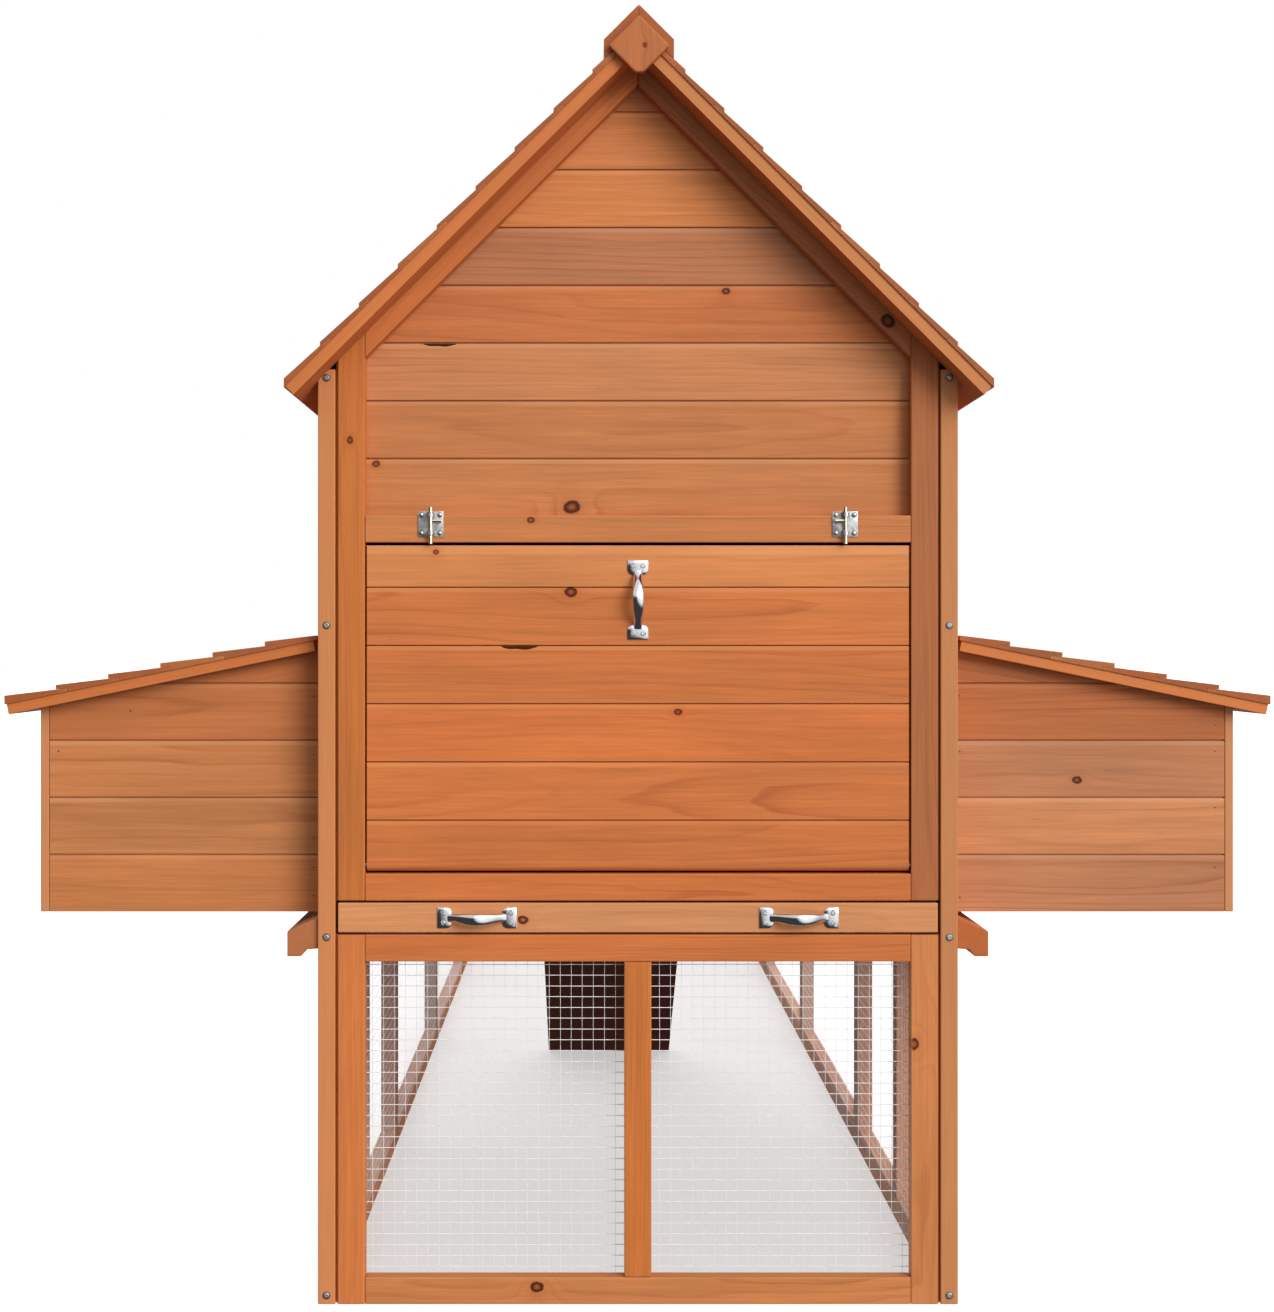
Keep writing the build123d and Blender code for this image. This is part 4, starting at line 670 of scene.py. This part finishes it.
# Nailed boards: nest walls and lapped slats. The middle is that of the right nest box.
NAIL_H = 0.0003
NEST_NAIL_R = 0.0014
NEST_NAIL_IN = 0.011
SLAT_NAIL_R = 0.0015
SLAT_NAIL_IN = 0.014
NEST_MIDDLE = (0.53, -1.185, 0.58)
NEST = {
    "left": (HONEY, HONEY, TAN, HONEY, BRONZE, HONEY, TAN, HONEY, TAN, HONEY, RUST, HONEY, RUST, TAN),
    "right": (PINK, HONEY, TAN, TAN, HONEY, TAN, ROSE, TAN, HONEY, HONEY, RUST, HONEY, RUST, TAN),
}
for side, outward in (("left", -1), ("right", 1)):
    heap = Heap()
    node = side + "_nest_walls"
    middle = Vector((outward * NEST_MIDDLE[0], *NEST_MIDDLE[1:]))
    for board in timber(node, NEST[side], 0.0011, FIR, 0.1):
        toward = board.w if (board.c - middle).dot(board.w) > 0 else -board.w
        for u in (-1, 1):
            for v in (-0.5, 0.5):
                across = v * board.half[1] * draw.uniform(0.8, 1.1)
                place = board.on_face(toward, u * (board.half[0] - NEST_NAIL_IN), across)
                if draw.random() < 0.35:
                    dome(heap, *place, NEST_NAIL_R, NAIL_H)
    finished(heap, side + "_nest_nails", DARK_STEEL_AND_SHADE, "zinc_steel", "coop")
    for node in (side + "_roof_slats", side + "_lid_slats"):
        heap = Heap()
        for board in timber(node, (RUST, BROWN, RUST, HONEY, BROWN), 0.0, FIR, 0.25):
            for u in (-1, 0, 1) if "roof" in node else (-1, 1):
                for v in (0.35, 0.72):
                    place = board.on_face(Z, u * (board.half[0] - SLAT_NAIL_IN), -v * board.half[1])
                    dome(heap, *place, SLAT_NAIL_R, NAIL_H)
        finished(heap, node + "_nails", DARK_STEEL_AND_SHADE, "zinc_steel", node_body[node])

# Welded half inch wire, with the radii of its upright and its level wires
WIRE_STEP = 0.0127
WIRE_PARTS = 4
WIRE_SWAY = 0.0003
FRONT_WIRE = (0.00025, 0.00046)
SIDE_WIRE = (0.00018, 0.00018)


def wire_net(heap, corner, u, v, inward, width, height, radii, clip=None):
    """Adds one net of crossed wires. The upright wires lie on the timber side."""
    across = round(width / WIRE_STEP)
    up = round(height / WIRE_STEP)
    thin, thick = radii
    layers = (
        (across, v, u, height, width, thin, thin),
        (up, u, v, width, height, thin * 2 + thick, thick),
    )
    for count, run, step, length, span, lift, gauge in layers:
        for i in range(count + 1):
            off = min(max(span * i / count, gauge), span - gauge)
            ends = clip(run is v, off) if clip else (0.0, length)
            if ends is None:
                continue
            path = []
            for k in range(WIRE_PARTS + 1):
                along = ends[0] + (ends[1] - ends[0]) * k / WIRE_PARTS
                sway = draw.uniform(-WIRE_SWAY, WIRE_SWAY) if 0 < i < count else 0.0
                path.append(corner + run * along + step * (off + sway) + inward * lift)
            wire(heap, path, gauge)


def net_of(node, panels, radii):
    """Replaces a net node by the welded wire of its panels."""
    heap = Heap()
    for corner, u, v, inward, width, height, *clip in panels:
        wire_net(heap, corner, u, v, inward, width, height, radii, *clip)
    finished(heap, node + "_wire", WIRE, "galvanised_wire", node_body[node], node, smooth=1.2)


# Number of the run's bays and their pitch
BAYS = 3
BAY = 0.789
low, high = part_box("lower_front_mesh")
net_of("lower_front_mesh", [(low, X, Z, Y, high.x - low.x, high.z - low.z)], FRONT_WIRE)
low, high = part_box("side_wall_mesh")
panels = [(Vector((s * high.x, low.y, low.z)), Y, Z, X * -s, high.y - low.y, high.z - low.z) for s in (-1, 1)]
net_of("side_wall_mesh", panels, SIDE_WIRE)
low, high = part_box("run_side_mesh")
length = (high.y - low.y) - BAY * (BAYS - 1)
panels = []
for s in (-1, 1):
    for i in range(BAYS):
        panels.append((Vector((s * high.x, low.y + BAY * i, low.z)), Y, Z, X * -s, length, high.z - low.z))
net_of("run_side_mesh", panels, SIDE_WIRE)

# Nets of the run's roof, which slopes at 45 degrees
NET_T = 0.001
HALF_ROOT = math.sqrt(0.5)
THICK = NET_T * HALF_ROOT
low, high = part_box("run_roof_mesh")
drop = (high.z - THICK - low.z) / HALF_ROOT
panels = []
for s in (-1, 1):
    down = Vector((s * HALF_ROOT, 0, -HALF_ROOT))
    out = Vector((s * HALF_ROOT, 0, HALF_ROOT))
    top = Vector((s * (high.x - THICK - drop * HALF_ROOT), low.y, high.z - THICK))
    for i in range(BAYS):
        panels.append((top + Y * (BAY * i), Y, down, out, length, drop))
net_of("run_roof_mesh", panels, SIDE_WIRE)

# Staples along the edges of these nets
STAPLES = 9
STAPLE_R = 0.0005
STAPLE_LIFT = 0.0016
STAPLE_LEG = 0.0014
STAPLE_HALF = 0.005
STAPLE_IN = 0.005
staples = Heap()
for corner, u, v, out, width, height in panels:
    edges = (
        (corner, u, width),
        (corner + v * height, u, width),
        (corner, v, height),
        (corner + u * width, v, height),
    )
    for edge, run, size in edges:
        for k in range(STAPLES):
            spot = edge + run * (size * (k + 0.5) / STAPLES) + out * STAPLE_LIFT
            inward = (corner + u * (width / 2) + v * (height / 2) - spot).normalized()
            spot = spot + inward * STAPLE_IN
            start = spot - run * STAPLE_HALF
            stop = spot + run * STAPLE_HALF
            leg = out * STAPLE_LEG
            wire(staples, [start - leg, start, stop, stop - leg], STAPLE_R, 5)
finished(staples, "run_roof_staples", ZINC, "zinc_steel", "coop", smooth=1.2)

# Nets of the run's far end
low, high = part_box("run_door_mesh")
corner = Vector((low.x, high.y, low.z))
net_of("run_door_mesh", [(corner, X, Z, -Y, high.x - low.x, high.z - low.z)], SIDE_WIRE)
low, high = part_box("run_gable_mesh")
wide = high.x - low.x
tall = high.z - low.z
eaves = tall - wide / 2


def under_gable(upright, off):
    """Where a wire at an offset starts and ends under the gable's slopes."""
    if upright:
        return 0.0, eaves + min(off, wide - off)
    inset = max(0.0, off - eaves)
    return (inset, wide - inset) if wide - 2 * inset > WIRE_STEP else None


net_of("run_gable_mesh", [(Vector((low.x, high.y, low.z)), X, Z, -Y, wide, tall, under_gable)], SIDE_WIRE)


def fitting(node, material, slot, width=0.00025):
    """Replaces a metal node by a copy with eased edges and smooth curves."""
    bm = clean(node)
    sharp = [e for e in bm.edges if e.is_manifold and e.calc_face_angle() > 0.9]
    ease(bm, [e for e in sharp if e.calc_length() > 4 * width], width)
    soften(bm, 0.6)
    name = node + "_metal"
    placed(name, baked(name, bm), material, slot, node_body[node], node)


for node in ("left_bolt", "right_bolt", "run_bolt"):
    fitting(node, BRASSED, "zinc_steel")
fitting("pivot_pins", ZINC, "zinc_steel")
fitting("bolt_plates", DULL_ZINC, "zinc_steel")

# Heads on the rivets of the bolt plates, which are the smallest solids of that node, each in a flat dark ring
# of painted shade
RIVET_REACH = 0.006
RIVET_R = 0.0021
RIVET_H = 0.0009
RIVET_SHADE_R = 0.003
RIVET_SHADE_H = 0.0002
rivets = Heap()
rim_shades = Heap()
bm = clean("bolt_plates")
for faces in islands(bm):
    points = {v.co.copy().freeze() for f in faces for v in f.verts}
    middle = sum(points, Vector()) / len(points)
    if max((p - middle).length for p in points) < RIVET_REACH:
        outward = Y if middle.y > 0 else -Y
        top = middle + outward * max((p - middle).dot(outward) for p in points)
        dome(rivets, top, outward, RIVET_R, RIVET_H, 14)
        dome(rim_shades, top, outward, RIVET_SHADE_R, RIVET_SHADE_H, 14)
bm.free()
finished(rivets, "bolt_rivets", ZINC, "zinc_steel", "coop")
finished(rim_shades, "bolt_rivet_shade_rings", DARK_STEEL_AND_SHADE, "zinc_steel", "coop")

# Hinges and tray pan
HINGES = ("lid_hinge_wall", "left_lid_hinge", "right_lid_hinge", "run_door_hinge_frame", "run_door_hinge")
for hinge in HINGES:
    fitting(hinge + "_leaves", ZINC, "zinc_steel")
fitting("tray_pan", SHEET, "galvanised_sheet", 0.0002)

# Screws in the front edges of the side panels, each in a flat dark ring of painted shade
SCREW_R = 0.0035
SCREW_H = 0.0015
SCREW_SUNK = 0.0016
SCREW_SHADE_R = 0.0047
SCREW_SHADE_H = 0.0003
heap = Heap()
rim_shades = Heap()
bm = clean("frame_screws")
for faces in islands(bm):
    points = [v.co for f in faces for v in f.verts]
    front = min(p.y for p in points)
    head = [p for p in points if p.y < front + 1e-5]
    x = sum(p.x for p in head) / len(head)
    centre = Vector((x, front + SCREW_SUNK, sum(p.z for p in head) / len(head)))
    screw(heap, centre, -Y, SCREW_R, SCREW_H, draw.uniform(0, 3))
    dome(rim_shades, centre, -Y, SCREW_SHADE_R, SCREW_SHADE_H, 16)
bm.free()
finished(heap, "frame_screws_metal", SCREW, "zinc_steel", "coop", "frame_screws", smooth=0.5)
finished(rim_shades, "frame_screw_shade_rings", DARK_STEEL_AND_SHADE, "zinc_steel", "coop")


# Pull handle: half length, plates, screws of a plate with the ring of painted shade about each, and the
# grip's length, foot, rise, half sizes and parts
HANDLE_REACH = 0.0455
PLATE_L = 0.0165
PLATE_HALF = 0.0119
PLATE_ROUND = 0.0065
PLATE_STEPS = ((0.0, 0.0), (0.0, 0.001), (0.0006, 0.0016), (0.0026, 0.0022), (0.005, 0.0025))
PLATE_SCREW_IN = 0.0066
PLATE_SCREW_OFF = 0.0056
PLATE_SCREW_Z = 0.0021
PLATE_SCREW_R = 0.0029
PLATE_SCREW_H = 0.0014
PLATE_SCREW_SHADE_R = 0.0038
GRIP_L = 0.066
GRIP_FOOT = 0.0012
GRIP_RISE = 0.0193
GRIP_HALF_W = 0.0047
GRIP_SWELL = 0.0018
GRIP_HALF_T = 0.0021
GRIP_THICKEN = 0.0011
GRIP_PARTS = 28


def handle_plate(heap, screws, rim_shades, centre, along, across, out):
    """One domed plate of a pull handle, with rounded inner corners and two screws, each in a flat dark ring
    of painted shade.
    """
    outline = [(HANDLE_REACH, -PLATE_HALF), (HANDLE_REACH, PLATE_HALF)]
    for k in range(7):
        turn = math.pi / 2 * k / 6
        inner = HANDLE_REACH - PLATE_L + PLATE_ROUND * (1 - math.sin(turn))
        outline.append((inner, PLATE_HALF - PLATE_ROUND * (1 - math.cos(turn))))
    outline += [(a, -b) for a, b in reversed(outline[2:])]
    mid = HANDLE_REACH - PLATE_L / 2
    rows = []
    for inset, lift in PLATE_STEPS:
        row = []
        for a, b in outline:
            a = mid + (a - mid) * (1 - inset / (PLATE_L / 2))
            b = b * (1 - inset / PLATE_HALF)
            row.append(centre + along * a + across * b + out * lift)
        rows.append(row)
    heap.rings(rows)
    for b in (-PLATE_SCREW_OFF, PLATE_SCREW_OFF):
        spot = centre + along * (HANDLE_REACH - PLATE_SCREW_IN) + across * b + out * PLATE_SCREW_Z
        screw(screws, spot, out, PLATE_SCREW_R, PLATE_SCREW_H, draw.uniform(0, 3))
        dome(rim_shades, spot, out, PLATE_SCREW_SHADE_R, SCREW_SHADE_H, 16)


def pull_handle(heap, screws, rim_shades, centre, along, across, out):
    """A pressed pull handle: two plates and a swelling grip."""
    for s in (-1, 1):
        handle_plate(heap, screws, rim_shades, centre, along * s, across, out)
    path = []
    for i in range(GRIP_PARTS + 1):
        t = i / GRIP_PARTS
        arch = math.sin(math.pi * t)
        lift = GRIP_FOOT + GRIP_RISE * arch ** 1.3
        path.append((centre + along * ((t - 0.5) * GRIP_L) + out * lift, arch))
    rows = []
    for i, (p, arch) in enumerate(path):
        tangent = (path[min(i + 1, GRIP_PARTS)][0] - path[max(i - 1, 0)][0]).normalized()
        normal = across.cross(tangent)
        half_w = GRIP_HALF_W + GRIP_SWELL * arch
        half_t = GRIP_HALF_T + GRIP_THICKEN * arch
        rows.append(ring(p, across, normal, half_w, half_t, 24))
    heap.rings(rows)


heap = Heap()
screws = Heap()
rim_shades = Heap()
low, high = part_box("door_handle")
pull_handle(heap, screws, rim_shades, Vector(((low.x + high.x) / 2, high.y, (low.z + high.z) / 2)), Z, X, -Y)
finished(heap, "door_handle_chrome", CHROME, "chrome", "front_door", "door_handle", smooth=0.6)
finished(screws, "door_handle_screws", ZINC, "chrome", "front_door", smooth=0.5)
finished(rim_shades, "door_handle_shade_rings", DARK_STEEL_AND_SHADE, "chrome", "front_door")
heap = Heap()
screws = Heap()
rim_shades = Heap()
TRAY_HANDLE_HALF = 0.045
low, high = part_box("tray_handles")
for x in (low.x + TRAY_HANDLE_HALF, high.x - TRAY_HANDLE_HALF):
    pull_handle(heap, screws, rim_shades, Vector((x, high.y, (low.z + high.z) / 2)), X, Z, -Y)
finished(heap, "tray_handles_chrome", CHROME, "chrome", "tray", "tray_handles", smooth=0.6)
finished(screws, "tray_handles_screws", ZINC, "chrome", "tray", smooth=0.5)
finished(rim_shades, "tray_handles_shade_rings", DARK_STEEL_AND_SHADE, "chrome", "tray")

# Turned knob of the hatch: shares of its radius and its depth
KNOB_STEPS = (
    (0.6, 0.0), (0.58, 0.1), (0.44, 0.25), (0.46, 0.42), (0.8, 0.52),
    (0.98, 0.64), (0.98, 0.78), (0.8, 0.92), (0.4, 1.0),
)
low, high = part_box("hatch_knob")
heap = Heap()
axis = Vector(((low.x + high.x) / 2, low.y, (low.z + high.z) / 2))
size = (high.x - low.x) / 2
depth = high.y - low.y
heap.rings([ring(axis + Y * (depth * h), X, Z, size * r, size * r, 24) for r, h in KNOB_STEPS])
knob = finished(heap, "hatch_knob_timber", FIR_FINE, "stained_fir", "hatch", "hatch_knob", smooth=0.9)
bm = bmesh.new()
bm.from_mesh(knob.data)
bm.verts.index_update()
turned = Board(list(bm.faces), (0, 1, 0))
dress("hatch_knob", knob.data, [turned], (HONEY,), 0.0)
bm.free()

# Pale floor
floor_mesh = bpy.data.meshes.new("floor")
FLOOR_HALF = 60.0
corners = [(x * FLOOR_HALF, y * FLOOR_HALF, 0) for x, y in ((-1, -1), (1, -1), (1, 1), (-1, 1))]
floor_mesh.from_pydata(corners, [], [(0, 1, 2, 3)])
g = Graph("pale_floor")
grain = g.noise(g.place(), 5.0, 3.0)
g.put(g.shader.inputs["Base Color"], g.mix(grain, (0.8, 0.8, 0.8, 1.0), (0.84, 0.84, 0.84, 1.0)))
g.put(g.shader.inputs["Roughness"], g.span(grain, 0.3, 0.7, 0.75, 0.9))
g.shader.inputs["Emission Color"].default_value = (1.0, 0.99, 0.985, 1.0)
g.shader.inputs["Emission Strength"].default_value = 0.66
floor_mesh.materials.append(g.owner)
floor = bpy.data.objects.new("floor", floor_mesh)
floor.visible_diffuse = False
floor.visible_glossy = False
scene.collection.objects.link(floor)

# Painted shade: a grey sheet on the ground inside the run, as in the photograph, from just behind the front
# to the far end
GROUND_Z = 0.0004
start = FRONT_Y + 0.04
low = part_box("left_run_frames")[1]
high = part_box("right_run_frames")[0]
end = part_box("run_end_frame")[0].y
ground_mesh = bpy.data.meshes.new("run_shade_sheet")
corners = [(low.x, start), (high.x, start), (high.x, end), (low.x, end)]
ground_mesh.from_pydata([(x, y, GROUND_Z) for x, y in corners], [], [(0, 1, 2, 3)])
g = Graph("painted_shade_ground")
grain = g.noise(g.place(), 40.0, 4.0, 0.7)
g.put(g.shader.inputs["Base Color"], g.mix(grain, (0.4, 0.39, 0.39, 1.0), (0.5, 0.49, 0.49, 1.0)))
g.put(g.shader.inputs["Roughness"], g.span(grain, 0.3, 0.7, 0.8, 0.95))
g.shader.inputs["Emission Color"].default_value = (1.0, 0.975, 0.965, 1.0)
g.shader.inputs["Emission Strength"].default_value = 0.515
ground_mesh.materials.append(g.owner)
ground = bpy.data.objects.new("run_shade_sheet", ground_mesh)
ground.visible_diffuse = False
ground.visible_glossy = False
scene.collection.objects.link(ground)

# Studio: a wide soft source to the right of the camera, a fill behind, a bright ceiling, a dim ground.
# Mirrored rays see the source and the ceiling with clearer edges, so that chrome shows dark and bright.
# The camera sees plain white.
KEY_WAY = (0.64, -0.70, 0.32)
REAR_WAY = (-0.35, 0.88, 0.32)
scene.world = bpy.data.worlds.new("studio")
g = Graph("studio", scene.world)
direction = g.place("Generated")
beside_key = g.vector("DOT_PRODUCT", direction, KEY_WAY)
height = g.parts(direction)[2]
toward_key = g.span(beside_key, 0.15, 1.0)
overhead = g.span(height, -0.05, 0.75)
strength = g.math("MULTIPLY_ADD", toward_key, 0.76, g.math("MULTIPLY_ADD", overhead, 0.42, 0.11))
toward_rear = g.span(g.vector("DOT_PRODUCT", direction, REAR_WAY), 0.3, 1.0)
strength = g.math("MULTIPLY_ADD", toward_rear, 1.1, strength)
mirrored = g.math("MULTIPLY_ADD", g.span(height, 0.15, 0.5), 0.8, 0.05)
mirrored = g.math("MULTIPLY_ADD", g.span(beside_key, 0.42, 0.86), 1.1, mirrored)
mirrored = g.math("MULTIPLY_ADD", toward_rear, 1.1, mirrored)
rays = g.node("LightPath", {}).outputs
change = g.math("SUBTRACT", mirrored, strength)
strength = g.math("MULTIPLY_ADD", rays["Is Glossy Ray"], change, strength)
sky = g.tree.nodes["Background"]
sky.inputs["Color"].default_value = (0.97, 0.985, 1.0, 1.0)
g.put(sky.inputs["Strength"], strength)
backdrop = g.node("Background", {"Color": (1.0, 1.0, 1.0, 1.0), "Strength": 1.0})
choice = g.node("MixShader", {0: rays["Is Camera Ray"], 1: sky.outputs[0], 2: backdrop.outputs[0]})
g.put(g.tree.nodes["World Output"].inputs["Surface"], choice.outputs[0])

# Key light, which leaves out the floor and the grey sheet of painted shade
key_data = bpy.data.lights.new("key", "SUN")
key_data.energy = 2.0
key_data.angle = math.radians(32)
key = bpy.data.objects.new("key", key_data)
key.rotation_euler = (math.radians(69), 0.0, math.radians(36))
scene.collection.objects.link(key)
unlit = bpy.data.collections.new("without_key_light")
for stage in (floor, ground):
    unlit.objects.link(stage)
for member in unlit.collection_objects:
    member.light_linking.link_state = "EXCLUDE"
key.light_linking.receiver_collection = unlit
